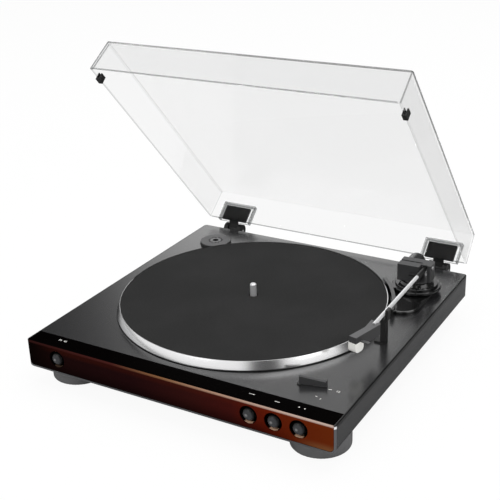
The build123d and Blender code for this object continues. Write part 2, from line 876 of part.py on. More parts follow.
with BuildPart() as motor_grommets:
    with BuildSketch(Plane.XY.offset(bracket_top)):
        with Locations(*grommet_places):
            Circle(grommet_radius)
            Circle(screw_radius + fit_gap, mode=Mode.SUBTRACT)
    extrude(amount=grommet_height)

with BuildPart() as motor_screws:
    with BuildSketch(Plane.XY.offset(bracket_under)):
        with Locations(*grommet_places):
            Circle(screw_radius)
    extrude(amount=recess_floor - bracket_under)
    with BuildSketch(Plane.XY.offset(bracket_under - screw_head_height)):
        with Locations(*grommet_places):
            Circle(screw_head_radius)
    extrude(amount=screw_head_height)

with BuildPart() as motor_shaft:
    with BuildSketch(Plane.XY.offset(bracket_under)):
        with Locations(pulley_place):
            Circle(motor_shaft_radius)
    extrude(amount=belt_middle + pulley_height / 2 - bracket_under)

with BuildPart() as motor_pulley:
    with BuildSketch(Plane.XY.offset(belt_middle - pulley_height / 2)):
        with Locations(pulley_place):
            Circle(pulley_radius)
    extrude(amount=pulley_height)
    with BuildSketch(Plane.XY.offset(belt_middle - pulley_height / 2)):
        with Locations(pulley_place):
            Circle(pulley_radius + 2 * pulley_flange)
    extrude(amount=pulley_flange)
    with BuildSketch(Plane.XY.offset(belt_middle - pulley_height / 2)):
        with Locations(pulley_place):
            Circle(motor_shaft_radius)
    extrude(amount=pulley_height, mode=Mode.SUBTRACT)

with BuildPart() as drive_belt:
    for loop_gap, loop_mode in ((belt_clearance + belt_thickness, Mode.ADD), (belt_clearance, Mode.SUBTRACT)):
        with BuildSketch(Plane.XY.offset(belt_middle - belt_width / 2)):
            with BuildLine() as belt_turns:
                CenterArc((0, 0), belt_ring_radius + loop_gap, 0, 360)
                CenterArc(pulley_place, pulley_radius + loop_gap, 0, 360)
            make_hull(belt_turns.edges())
        extrude(amount=belt_width, mode=loop_mode)

with BuildPart() as tonearm_base:
    guard_inner = platter_radius + guard_gap
    with BuildSketch(Plane.XY.offset(deck_top)):
        with BuildLine() as tongue_ends:
            CenterArc((arm_pivot_right, tongue_front + tongue_half_width), tongue_half_width, 0, 360)
            CenterArc((arm_pivot_right, arm_pivot_back), tongue_half_width, 0, 360)
        make_hull(tongue_ends.edges())
        Circle(guard_inner, mode=Mode.SUBTRACT)
    extrude(amount=tongue_height)
    fillet(tonearm_base.edges().group_by(Axis.Z)[-1], tongue_height / 2)
    with BuildSketch(Plane(origin=(arm_pivot_right, arm_pivot_back, 0), x_dir=(1, 0, 0), z_dir=(0, -1, 0))):
        with BuildLine():
            Polyline(
                (0, deck_top),
                (tongue_half_width - turret_foot_inset, deck_top),
                (tongue_half_width - turret_foot_inset, deck_top + tongue_height),
                (turret_radius, turret_disc_top - turret_edge_height),
                (turret_radius, turret_disc_top - 0.8),
                (turret_radius - 0.8, turret_disc_top),
                (turret_step_radius, turret_disc_top),
                (turret_step_radius, turret_step_top - 0.6),
                (turret_step_radius - 0.6, turret_step_top),
                (turret_cap_radius + 1.5, turret_step_top),
                (turret_cap_radius, turret_top),
                (0, turret_top),
                close=True,
            )
        make_face()
    revolve(axis=Axis((arm_pivot_right, arm_pivot_back, 0), (0, 0, 1)))
    # Guard that follows the platter's edge, and the web that carries it
    with BuildSketch(Plane.XY.offset(deck_top)):
        guard_outer = guard_inner + guard_width
        ring_sector(guard_inner, guard_outer, pivot_angle - guard_ahead, pivot_angle + guard_behind)
    extrude(amount=guard_top - deck_top)
    web_outer = pivot_distance - turret_step_radius
    with BuildSketch(Plane.XY.offset(deck_top + tongue_height)):
        web_inner = guard_inner + guard_width / 2
        ring_sector(web_inner, web_outer, pivot_angle - web_ahead, pivot_angle + web_behind)
    extrude(amount=guard_top - deck_top - tongue_height)
    with BuildSketch(arm_plane.offset(deck_top - base_hub_length)):
        Circle(base_hub_radius)
    extrude(amount=base_hub_length)
    with BuildSketch(Plane.XY.offset(deck_top)):
        with Locations(*base_screw_places):
            Circle(screw_radius + fit_gap)
    extrude(amount=base_screw_depth, mode=Mode.SUBTRACT)
    with BuildSketch(arm_plane.offset(deck_top - base_hub_length)):
        Circle(arm_shaft_radius + running_clearance)
        with Locations(lifter_post_place):
            Circle(lifter_post_radius + running_clearance)
    extrude(amount=turret_top - deck_top + base_hub_length, mode=Mode.SUBTRACT)

with BuildPart() as arm_rest:
    with BuildSketch(arm_plane.offset(deck_top)):
        with Locations((tube_offset + (rest_post_width / 2 - rest_foot_reach) / 2, rest_along)):
            RectangleRounded(rest_foot_reach + rest_post_width / 2, rest_foot_depth, prong_thickness)
    extrude(amount=rest_foot_height)
    post_plane = Plane(
        origin=arm_plane.from_local_coords(Vector(tube_offset, rest_along, 0)),
        x_dir=arm_right,
        z_dir=(arm_right[1], -arm_right[0], 0),
    )
    with BuildSketch(post_plane):
        half_post = rest_post_width / 2
        outside = cradle_half_width + prong_thickness
        with BuildLine():
            Polyline(
                (-half_post, deck_top),
                (half_post, deck_top),
                (half_post, cradle_bottom - 2 * prong_thickness),
                (outside, cradle_bottom),
                (outside + prong_flare, outer_prong_top),
                (cradle_half_width, outer_prong_top),
                (cradle_half_width, cradle_bottom + cradle_half_width),
                (cradle_half_width / 2, cradle_bottom),
                (-cradle_half_width / 2, cradle_bottom),
                (-cradle_half_width, cradle_bottom + cradle_half_width),
                (-cradle_half_width - prong_flare / 2, inner_prong_top),
                (-outside, inner_prong_top),
                (-outside, cradle_bottom),
                (-half_post, cradle_bottom - 2 * prong_thickness),
                close=True,
            )
        make_face()
    extrude(amount=rest_post_depth / 2, both=True)

with BuildPart() as arm_lifter:
    with BuildSketch(arm_plane.offset(lifter_top - lifter_thickness)):
        ring_sector(lifter_inner_radius, lifter_outer_radius, lifter_first_angle, lifter_last_angle)
    extrude(amount=lifter_thickness)
    with BuildSketch(arm_plane.offset(lifter_post_bottom)):
        with Locations(lifter_post_place):
            Circle(lifter_post_radius)
    extrude(amount=lifter_top - lifter_thickness - lifter_post_bottom)

with BuildPart() as arm_shaft:
    with BuildSketch(arm_plane.offset(arm_shaft_bottom)):
        Circle(arm_shaft_radius)
    extrude(amount=turret_top + yoke_lift - arm_shaft_bottom)

with BuildPart() as arm_drive_plate:
    with BuildSketch(arm_plane.offset(arm_shaft_bottom)):
        ring_sector(arm_shaft_radius, drive_plate_radius, drive_plate_first_angle, drive_plate_last_angle)
        Circle(2 * arm_shaft_radius)
        Circle(arm_shaft_radius, mode=Mode.SUBTRACT)
    extrude(amount=drive_plate_thickness)

with BuildPart() as arm_yoke:
    with BuildSketch(arm_plane.offset(turret_top + yoke_lift)):
        Circle(yoke_neck_radius)
        with Locations((0, block_rear + yoke_neck_radius)):
            Rectangle(2 * yoke_neck_radius, 2 * yoke_neck_radius, mode=Mode.SUBTRACT)
    extrude(amount=block_bottom - turret_top - yoke_lift)
    with BuildSketch(arm_plane.offset(block_bottom)):
        with Locations(((block_left + block_right) / 2, (block_front + block_rear) / 2)):
            Rectangle(block_right - block_left, block_rear - block_front)
    extrude(amount=yoke_top - block_bottom)
    with BuildSketch(arm_plane.offset(turret_top + yoke_lift)) as column_face:
        with Locations(((column_left + column_right) / 2, (column_front + block_rear) / 2)):
            Rectangle(column_right - column_left, block_rear - column_front)
        fillet(column_face.vertices().group_by(Axis.X)[-1], column_corner_radius)
    extrude(amount=yoke_top - turret_top - yoke_lift)
    with BuildSketch(arm_plane.offset(bridge_bottom)):
        with Locations(((block_right + column_left) / 2, (bridge_front + block_rear) / 2)):
            Rectangle(column_left - block_right, block_rear - bridge_front)
    extrude(amount=yoke_top - bridge_bottom)
    with BuildSketch(arm_plane.offset(yoke_top)):
        with Locations(((block_left + block_right) / 2, 0)):
            Rectangle(block_right - block_left, groove_width)
    extrude(amount=-groove_depth, mode=Mode.SUBTRACT)
    with BuildSketch(cross_plane):
        Circle(pivot_pin_radius)
    extrude(amount=column_right - tube_offset, mode=Mode.SUBTRACT)
    with BuildSketch(cross_plane):
        Circle(pivot_pin_radius)
    extrude(amount=-2 * (tube_offset - block_right), mode=Mode.SUBTRACT)

with BuildPart() as pivot_pins:
    with BuildSketch(cross_plane.offset(sleeve_radius - pivot_pin_reach)):
        Circle(pivot_pin_radius)
    extrude(amount=column_right - tube_offset - sleeve_radius + pivot_pin_reach)
    with BuildSketch(cross_plane.offset(column_right - tube_offset)):
        Circle(pivot_head_radius)
    extrude(amount=pivot_head_height)
    with BuildSketch(cross_plane.offset(-sleeve_radius + pivot_pin_reach)):
        Circle(pivot_pin_radius)
    extrude(amount=-2 * (tube_offset - block_right) + sleeve_radius - pivot_pin_reach)

with BuildPart() as counterweight:
    weight_plane = Plane(
        origin=arm_plane.from_local_coords(Vector(counterweight_left, block_rear, counterweight_height)),
        x_dir=arm_right,
        z_dir=(-arm_right[1], arm_right[0], 0),
    )
    with BuildSketch(weight_plane):
        Circle(counterweight_radius)
    extrude(amount=counterweight_length)
    fillet(counterweight.edges().sort_by_distance(weight_plane.origin)[-1], weight_edge_radius)

with BuildPart() as arm_sleeve:
    with BuildSketch(tube_plane.offset(-sleeve_back)):
        Circle(sleeve_radius)
    extrude(amount=sleeve_back + sleeve_front)
    with BuildSketch(tube_plane.offset(tube_start)):
        Circle(tube_radius)
    extrude(amount=sleeve_front - tube_start, mode=Mode.SUBTRACT)
    with BuildSketch(cross_plane):
        Circle(pivot_pin_radius + running_clearance)
    extrude(amount=sleeve_radius, both=True, mode=Mode.SUBTRACT)

with BuildPart() as arm_tube:
    with BuildSketch(tube_plane.offset(tube_start)):
        Circle(tube_radius)
        Circle(tube_radius - tube_wall, mode=Mode.SUBTRACT)
    extrude(amount=tube_end - tube_start)

with BuildPart() as headshell:
    shell_points = (shell_rear_left, shell_bend, shell_front_left, shell_front_right, shell_rear_right)
    with BuildSketch(head_plane.offset(shell_top - shell_height)):
        Polygon(*shell_points)
    extrude(amount=shell_height)
    with BuildSketch(head_plane.offset(shell_top - shell_height)):
        Polygon(*shell_points)
        offset(amount=-shell_wall)
    extrude(amount=shell_height - shell_ceiling, mode=Mode.SUBTRACT)
    with BuildSketch(stylus_plane.offset(shell_top - shell_nose_height)):
        with Locations((0, holder_front + shell_nose_length / 2)):
            Rectangle(shell_height * 2, shell_nose_length)
    extrude(amount=-shell_height, mode=Mode.SUBTRACT)
    with BuildSketch(tube_plane.offset(tube_end)):
        Circle(tube_radius)
    extrude(amount=-(tube_end + shell_rear_left[1] + shell_height), mode=Mode.SUBTRACT)
    with BuildSketch(stylus_plane.offset(shell_top - shell_nose_height)):
        with Locations((holder_width / 2 + finger_length / 2 - shell_wall, finger_width)):
            Rectangle(finger_length + shell_wall, finger_width)
    extrude(amount=finger_thickness)

with BuildPart() as cartridge:
    with BuildSketch(stylus_plane.offset(shell_top - shell_ceiling)):
        with Locations((0, cartridge_front + cartridge_length / 2)):
            Rectangle(cartridge_width, cartridge_length)
    extrude(amount=-cartridge_height)

with BuildPart() as stylus_holder:
    holder_top = shell_top - shell_nose_height
    chin_plane = Plane(origin=stylus_plane.origin, x_dir=stylus_plane.y_dir, z_dir=stylus_plane.x_dir)
    with BuildSketch(chin_plane) as chin_outline:
        with Locations((holder_front + holder_length / 2, (holder_top + holder_bottom) / 2)):
            Rectangle(holder_length, holder_top - holder_bottom)
        fillet(chin_outline.vertices().group_by(Axis.Y)[0], holder_edge_radius)
    extrude(amount=holder_width / 2, both=True)
    with BuildSketch(stylus_plane.offset(holder_top)):
        with Locations((0, cartridge_front + cartridge_length / 2)):
            Rectangle(cartridge_width, cartridge_length)
    extrude(amount=shell_top - shell_ceiling - cartridge_height - holder_top, mode=Mode.SUBTRACT)
    with BuildSketch(stylus_plane.offset(holder_bottom)):
        with Locations((0, cantilever_length - holder_length / 2)):
            Rectangle(holder_slot, holder_length)
    extrude(amount=holder_slot, mode=Mode.SUBTRACT)

with BuildPart() as cantilever:
    rod_plane = Plane(
        origin=stylus_plane.from_local_coords(Vector(0, cantilever_length, cantilever_height)),
        x_dir=stylus_plane.x_dir,
        z_dir=-stylus_plane.y_dir,
    )
    with BuildSketch(rod_plane):
        Circle(cantilever_radius)
    extrude(amount=cantilever_length + cantilever_radius)
    with BuildSketch(stylus_plane.offset(cantilever_height)):
        Circle(stylus_radius)
    extrude(amount=stylus_tip - cantilever_height, taper=stylus_taper)

with BuildPart() as arm_base_screws:
    with BuildSketch(Plane.XY.offset(deck_under)):
        with Locations(*base_screw_places):
            Circle(screw_radius)
    extrude(amount=deck_thickness + base_screw_depth)
    with BuildSketch(Plane.XY.offset(deck_under - screw_head_height)):
        with Locations(*base_screw_places):
            Circle(screw_head_radius)
    extrude(amount=screw_head_height)

with BuildPart() as size_selector:
    selector_bottom = deck_top + selector_lift
    selector_direction = (cos(radians(selector_turn)), sin(radians(selector_turn)), 0)
    fin_plane = Plane(
        origin=(*selector_place, selector_bottom),
        x_dir=selector_direction,
        z_dir=(selector_direction[1], -selector_direction[0], 0),
    )
    with BuildSketch(Plane.XY.offset(selector_bottom)):
        with Locations(selector_place):
            Circle(selector_hub_radius)
    extrude(amount=selector_hub_height)
    with BuildSketch(fin_plane):
        with BuildLine():
            Polyline(
                (-selector_end, 0),
                (selector_length, 0),
                (selector_length, selector_fin_height),
                (selector_length - selector_fin_length, selector_tip_height),
                (-selector_end, selector_height),
                close=True,
            )
        make_face()
    extrude(amount=selector_width / 2, both=True)
    # A low skirt under the pointing half
    with BuildSketch(fin_plane):
        with Locations((selector_length * 3 / 4, selector_skirt / 2)):
            Rectangle(selector_length / 2, selector_skirt)
    extrude(amount=selector_width / 2 + selector_skirt, both=True)
    with BuildSketch(Plane.XY.offset(deck_under - selector_lift)):
        with Locations(selector_place):
            Circle(selector_stub_radius)
    extrude(amount=deck_thickness + 2 * selector_lift)
    with BuildSketch(Plane.XY.offset(deck_under - selector_lift)):
        with Locations(selector_place):
            Circle(selector_clip_radius)
    extrude(amount=-selector_clip_height)

with BuildPart() as adapter_45:
    with BuildSketch(Plane.XY.offset(adapter_floor)):
        with Locations(adapter_place):
            Circle(adapter_radius)
            Circle(adapter_hole_radius, mode=Mode.SUBTRACT)
    extrude(amount=adapter_height)
    fillet(adapter_45.edges().group_by(Axis.Z)[-1].sort_by(SortBy.RADIUS)[-1], adapter_edge_radius)
    with BuildSketch(Plane.XY.offset(adapter_floor + adapter_height)):
        with Locations(adapter_place):
            with PolarLocations(adapter_notch_distance, adapter_notches):
                Rectangle(adapter_notch_width, adapter_notch_length)
    extrude(amount=-adapter_notch_depth, mode=Mode.SUBTRACT)

with BuildPart() as dust_cover:
    cover_axis = Axis(cover_plane.origin, cover_plane.z_dir)
    # The side walls and the front wall lean inwards to the top; the rear wall stands upright
    with BuildSketch(cover_plane.offset(cover_above_hinge)):
        with Locations((0, cover_middle)):
            RectangleRounded(cover_width, cover_length, cover_corner_radius)
    with BuildSketch(cover_plane.offset(cover_above_hinge + cover_height)):
        with Locations((0, cover_top_middle)):
            RectangleRounded(cover_top_width, cover_top_length, cover_corner_radius)
    loft(ruled=True)
    fillet(dust_cover.faces().sort_by(cover_axis)[-1].edges(), cover_edge_radius)
    with BuildSketch(cover_plane.offset(cover_above_hinge)):
        with Locations((0, cover_middle)):
            Rectangle(cover_width - 2 * cover_wall, cover_length - 2 * cover_wall)
    with BuildSketch(cover_plane.offset(cover_above_hinge + cover_height - cover_wall)):
        with Locations((0, cover_top_middle)):
            Rectangle(cover_top_width - 2 * cover_wall, cover_top_length - 2 * cover_wall)
    loft(ruled=True, mode=Mode.SUBTRACT)
    # Pockets on the rear wall, open below, that the hinge leaves slide into
    with BuildSketch(cover_plane.offset(cover_above_hinge)):
        with Locations(*[(place, cover_rear + pocket_depth / 2) for place in hinge_places]):
            Rectangle(pocket_width, pocket_depth)
    extrude(amount=pocket_height)
    with BuildSketch(cover_plane.offset(cover_above_hinge)):
        with Locations(*[(place, cover_rear + (pocket_depth - pocket_wall) / 2) for place in hinge_places]):
            Rectangle(pocket_width - 2 * pocket_wall, pocket_depth - pocket_wall)
    extrude(amount=pocket_height - pocket_wall, mode=Mode.SUBTRACT)

with BuildPart() as hinge_leaves:
    with BuildSketch(cover_plane.offset(leaf_bottom)):
        with Locations(*[(place, cover_rear + leaf_thickness / 2) for place in hinge_places]):
            Rectangle(leaf_width, leaf_thickness)
    extrude(amount=leaf_height)
    for place in hinge_places:
        knuckle_plane = Plane(
            origin=cover_plane.from_local_coords(Vector(place, 0, 0)),
            x_dir=cover_plane.y_dir,
            z_dir=cover_plane.x_dir,
        )
        leaf_rear = cover_rear + leaf_thickness
        with BuildSketch(knuckle_plane):
            Circle(knuckle_radius)
            Polygon(
                (-knuckle_radius, 0),
                (leaf_rear, hinge_below_deck),
                (cover_rear + leaf_rise, cover_above_hinge),
                (cover_rear, leaf_bottom),
                (leaf_rear, leaf_bottom),
                (leaf_rear, cover_above_hinge - leaf_rise / 2),
                (0, knuckle_radius),
            )
            Circle(hinge_pin_radius + running_clearance, mode=Mode.SUBTRACT)
        extrude(amount=neck_width / 2, both=True)

with BuildPart() as hinge_brackets:
    plate_rear = hinge_plate_thickness - hinge_behind_plinth
    for place in hinge_places:
        plate_middle = (middle_x + place, rear_face, hinge_z)
        with BuildSketch(Plane(origin=plate_middle, x_dir=(1, 0, 0), z_dir=(0, -1, 0))):
            with Locations((0, hinge_plate_top - hinge_plate_height / 2)):
                Rectangle(hinge_plate_width, hinge_plate_height)
                with GridLocations(2 * hinge_screw_spread, 1, 2, 1):
                    Circle(screw_radius + fit_gap, mode=Mode.SUBTRACT)
        extrude(amount=-hinge_plate_thickness)
        for side in (-1, 1):
            cheek_plane = Plane(
                origin=(middle_x + place + side * (neck_width / 2 + cheek_clearance), hinge_y, hinge_z),
                x_dir=(0, 1, 0),
                z_dir=(1, 0, 0),
            )
            with BuildSketch(cheek_plane):
                Circle(cheek_radius)
                Polygon(
                    (plate_rear, -hinge_web_drop),
                    (cheek_radius * cos(pi / 6), -cheek_radius * sin(pi / 6)),
                    (0, cheek_radius / 2),
                    (plate_rear, hinge_plate_top),
                )
                Circle(hinge_pin_radius, mode=Mode.SUBTRACT)
            extrude(amount=side * cheek_thickness)

with BuildPart() as hinge_pins:
    for place in hinge_places:
        pin_middle = (middle_x + place, hinge_y, hinge_z)
        with BuildSketch(Plane(origin=pin_middle, x_dir=(0, 1, 0), z_dir=(1, 0, 0))):
            Circle(hinge_pin_radius)
        extrude(amount=neck_width / 2 + cheek_clearance + cheek_thickness + hinge_pin_end, both=True)

with BuildPart() as hinge_screws:
    with BuildSketch(rear_plane.offset(-hinge_plate_thickness)):
        with Locations(*hinge_screw_places):
            Circle(screw_radius)
    extrude(amount=hinge_screw_length)
    with BuildSketch(rear_plane.offset(-hinge_plate_thickness)):
        with Locations(*hinge_screw_places):
            Circle(screw_head_radius)
    extrude(amount=-screw_head_height)

with BuildPart() as cover_bumpers:
    bumper_places = [(side * (cover_width - cover_wall) / 2, bumper_place) for side in (-1, 1)]
    with BuildSketch(cover_plane.offset(cover_above_hinge - bumper_foot)):
        with Locations(*bumper_places):
            Rectangle(cover_wall + 2 * bumper_wall, bumper_length)
    extrude(amount=bumper_foot + bumper_height)
    add(dust_cover.part, mode=Mode.SUBTRACT)

with BuildPart() as output_jack:
    with BuildSketch(rear_plane):
        with Locations((output_right, socket_height)):
            Circle(output_barrel_radius)
    extrude(amount=side_wall)
    with BuildSketch(rear_plane.offset(side_wall)):
        with Locations((output_right, socket_height)):
            Rectangle(3 * output_barrel_radius, 3 * output_barrel_radius)
    extrude(amount=output_length - side_wall)
    with BuildSketch(rear_plane):
        with Locations((output_right, socket_height)):
            Circle(output_radius)
    extrude(amount=output_bore_depth, mode=Mode.SUBTRACT)

with BuildPart() as dc_jack:
    with BuildSketch(rear_plane):
        with Locations((power_right, socket_height)):
            Circle(power_radius)
    extrude(amount=side_wall)
    with BuildSketch(rear_plane.offset(side_wall)):
        with Locations((power_right, socket_height)):
            Rectangle(power_width, power_height)
    extrude(amount=power_depth - side_wall)
    with BuildSketch(rear_plane):
        with Locations((power_right, socket_height)):
            Circle(power_bore_radius)
    extrude(amount=power_bore_depth, mode=Mode.SUBTRACT)
    with BuildSketch(rear_plane.offset(power_bore_depth)):
        with Locations((power_right, socket_height)):
            Circle(power_pin_radius)
    extrude(amount=-power_pin_length)

with BuildPart() as line_switch_body:
    with BuildSketch(rear_plane.offset(side_wall)):
        with Locations((switch_right, socket_height)):
            Rectangle(switch_width, switch_height)
    extrude(amount=switch_depth)
    with BuildSketch(rear_plane.offset(side_wall)):
        with Locations((switch_right, socket_height)):
            Rectangle(slider_slot_width, slider_height + 2 * slider_clearance)
    extrude(amount=slider_depth + slider_clearance, mode=Mode.SUBTRACT)

with BuildPart() as line_switch_slider:
    with BuildSketch(rear_plane.offset(-slider_reach)):
        with Locations((switch_right - slider_travel / 2, socket_height)):
            Rectangle(slider_width, slider_height)
    extrude(amount=slider_reach + side_wall + slider_depth)

with BuildPart() as control_board:
    with BuildSketch(Plane.XY.offset(board_under)):
        with Locations(board_place):
            Rectangle(board_width, board_depth)
        with Locations(*board_posts):
            Circle(screw_radius + fit_gap, mode=Mode.SUBTRACT)
    extrude(amount=board_thickness)
    with BuildSketch(Plane.XY.offset(board_under + board_thickness)):
        with Locations(board_place):
            with GridLocations(4 * capacitor_radius, 1, 2, 1):
                Circle(capacitor_radius)
    extrude(amount=capacitor_height)
    with BuildSketch(Plane.XY.offset(board_under + board_thickness)):
        with Locations(board_place):
            with GridLocations(2 * chip_length + 4 * capacitor_radius, 1, 2, 1):
                Rectangle(chip_width, chip_length)
    extrude(amount=chip_height)

with BuildPart() as board_screws:
    with BuildSketch(Plane.XY.offset(board_under)):
        with Locations(*board_posts):
            Circle(screw_radius)
    extrude(amount=board_screw_length)
    with BuildSketch(Plane.XY.offset(board_under - screw_head_height)):
        with Locations(*board_posts):
            Circle(screw_head_radius)
    extrude(amount=screw_head_height)

pieces = {
    "plinth": plinth,
    "bottom_cover": bottom_cover,
    "front_panel": front_panel,
    "start_button": start_button,
    "stop_button": stop_button,
    "lift_button": lift_button,
    "speed_button": speed_button,
    "speed_switch": speed_switch,
    "feet": feet,
    "foot_pads": foot_pads,
    "case_screws": case_screws,
    "spindle": spindle,
    "bearing_seat": bearing_seat,
    "thrust_washer": thrust_washer,
    "platter": platter,
    "platter_bush": platter_bush,
    "hub_gear": hub_gear,
    "platter_mat": platter_mat,
    "cam_gear": cam_gear,
    "motor": motor,
    "motor_bracket": motor_bracket,
    "motor_grommets": motor_grommets,
    "motor_screws": motor_screws,
    "motor_shaft": motor_shaft,
    "motor_pulley": motor_pulley,
    "drive_belt": drive_belt,
    "tonearm_base": tonearm_base,
    "arm_base_screws": arm_base_screws,
    "arm_rest": arm_rest,
    "arm_lifter": arm_lifter,
    "arm_shaft": arm_shaft,
    "arm_drive_plate": arm_drive_plate,
    "arm_yoke": arm_yoke,
    "pivot_pins": pivot_pins,
    "counterweight": counterweight,
    "arm_sleeve": arm_sleeve,
    "arm_tube": arm_tube,
    "headshell": headshell,
    "cartridge": cartridge,
    "stylus_holder": stylus_holder,
    "cantilever": cantilever,
    "size_selector": size_selector,
    "adapter_45": adapter_45,
    "dust_cover": dust_cover,
    "hinge_leaves": hinge_leaves,
    "hinge_brackets": hinge_brackets,
    "hinge_pins": hinge_pins,
    "hinge_screws": hinge_screws,
    "cover_bumpers": cover_bumpers,
    "output_jack": output_jack,
    "dc_jack": dc_jack,
    "line_switch_body": line_switch_body,
    "line_switch_slider": line_switch_slider,
    "control_board": control_board,
    "board_screws": board_screws,
}
os.makedirs("parts", exist_ok=True)
for name, piece in pieces.items():
    piece.part.label = name
    export_step(piece.part, f"parts/{name}.step")
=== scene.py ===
import json
import math

import bpy
import numpy as np
from mathutils import Matrix, Vector


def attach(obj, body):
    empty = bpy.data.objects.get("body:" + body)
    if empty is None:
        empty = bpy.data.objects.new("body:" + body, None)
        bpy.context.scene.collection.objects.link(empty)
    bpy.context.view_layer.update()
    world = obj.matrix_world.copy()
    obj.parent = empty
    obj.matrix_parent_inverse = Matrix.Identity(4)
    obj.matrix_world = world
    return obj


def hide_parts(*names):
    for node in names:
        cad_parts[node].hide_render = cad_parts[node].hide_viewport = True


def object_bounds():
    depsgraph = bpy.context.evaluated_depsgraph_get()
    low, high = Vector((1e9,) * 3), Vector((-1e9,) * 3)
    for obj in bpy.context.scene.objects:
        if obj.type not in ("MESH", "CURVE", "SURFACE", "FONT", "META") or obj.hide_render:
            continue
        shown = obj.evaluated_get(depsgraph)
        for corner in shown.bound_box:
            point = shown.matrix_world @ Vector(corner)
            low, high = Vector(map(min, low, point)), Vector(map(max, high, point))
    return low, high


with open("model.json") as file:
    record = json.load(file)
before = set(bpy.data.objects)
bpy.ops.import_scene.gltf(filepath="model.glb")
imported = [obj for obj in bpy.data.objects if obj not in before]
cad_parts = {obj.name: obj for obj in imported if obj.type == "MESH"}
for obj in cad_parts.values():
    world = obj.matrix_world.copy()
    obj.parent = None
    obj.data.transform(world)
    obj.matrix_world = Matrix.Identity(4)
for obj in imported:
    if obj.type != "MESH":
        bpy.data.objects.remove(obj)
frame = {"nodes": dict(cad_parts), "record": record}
cad_low, cad_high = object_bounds()
nodes = frame["nodes"]
joints = {joint["name"]: joint for joint in frame["record"]["behaviour"]["joints"]}
MM = 0.001


def corners(name):
    """The low and high corners of a CAD node's box, in millimetres."""
    shape = nodes[name].data
    points = np.empty(len(shape.vertices) * 3)
    shape.vertices.foreach_get("co", points)
    points = points.reshape(-1, 3) / MM
    return points.min(0).tolist(), points.max(0).tolist()


def middle_of(name):
    """The middle of a CAD node's box, in millimetres."""
    return [(low + high) / 2 for low, high in zip(*corners(name))]


def axis_of(name):
    """The place that a joint's axis goes through, in millimetres."""
    return [value / MM for value in joints[name]["pos_m"]]


# Places on the player, in millimetres; the front panel is flush with the deck
case_low, case_high = corners("plinth")
case_left, front_face, case_bottom = case_low
case_right = case_high[0]
case_middle = (case_left + case_right) / 2
case_half = (case_right - case_left) / 2
deck_top = corners("front_panel")[1][2]
button_middles = [middle_of(name + "_button")[0] for name in ("speed", "start", "stop", "lift")]
button_height = middle_of("start_button")[2]
adapter_middle = middle_of("adapter_45")
adapter_top = corners("adapter_45")[1][2]
arm_pivot = axis_of("tonearm_swing")
selector_axis = axis_of("selector_turn")

# The cover when shut, its front wall and its seat measured from the hinge axis: the walls lean inwards
# as they rise from the seat, and two pockets for the hinge leaves stand behind the rear wall
hinge_axis = axis_of("cover_hinge")
cover_opening = -joints["cover_hinge"]["range_deg"][0]
cover_low, cover_high = corners("dust_cover")
cover_half = (cover_high[0] - cover_low[0]) / 2
cover_length = 331.5
cover_height = 38.4
cover_front = 343.47
cover_seat = 7.31
cover_wall = 1.8
side_lean = 1.5
front_lean = 4.6
pocket_place = 141.0
pocket_half = 23.0
pocket_height = 25.5

# The mat and the prints
mat_radius = 147.0
mat_hole = 4.6
mat_thickness = 3.0
mat_edge_round = 0.9
print_thickness = 0.04


def shade(red, green, blue):
    """A colour given as seen on screen, 0 to 255, turned into the linear one that a shader takes."""
    seen = np.array([red, green, blue]) / 255
    linear = np.where(seen <= 0.04045, seen / 12.92, ((seen + 0.055) / 1.055) ** 2.4)
    return (*linear.tolist(), 1.0)


class Value:
    """One output of a node tree. Arithmetic on it adds Math nodes."""

    def __init__(self, tree, socket):
        self.tree = tree
        self.socket = socket

    def maths(self, operation, first, second):
        return self.tree.node("ShaderNodeMath", {"operation": operation}, [first, second])

    def __add__(self, other):
        return self.maths("ADD", self, other)

    def __radd__(self, other):
        return self.maths("ADD", other, self)

    def __sub__(self, other):
        return self.maths("SUBTRACT", self, other)

    def __rsub__(self, other):
        return self.maths("SUBTRACT", other, self)

    def __mul__(self, other):
        return self.maths("MULTIPLY", self, other)

    def __truediv__(self, other):
        return self.maths("DIVIDE", self, other)

    def __pow__(self, other):
        return self.maths("POWER", self, other)


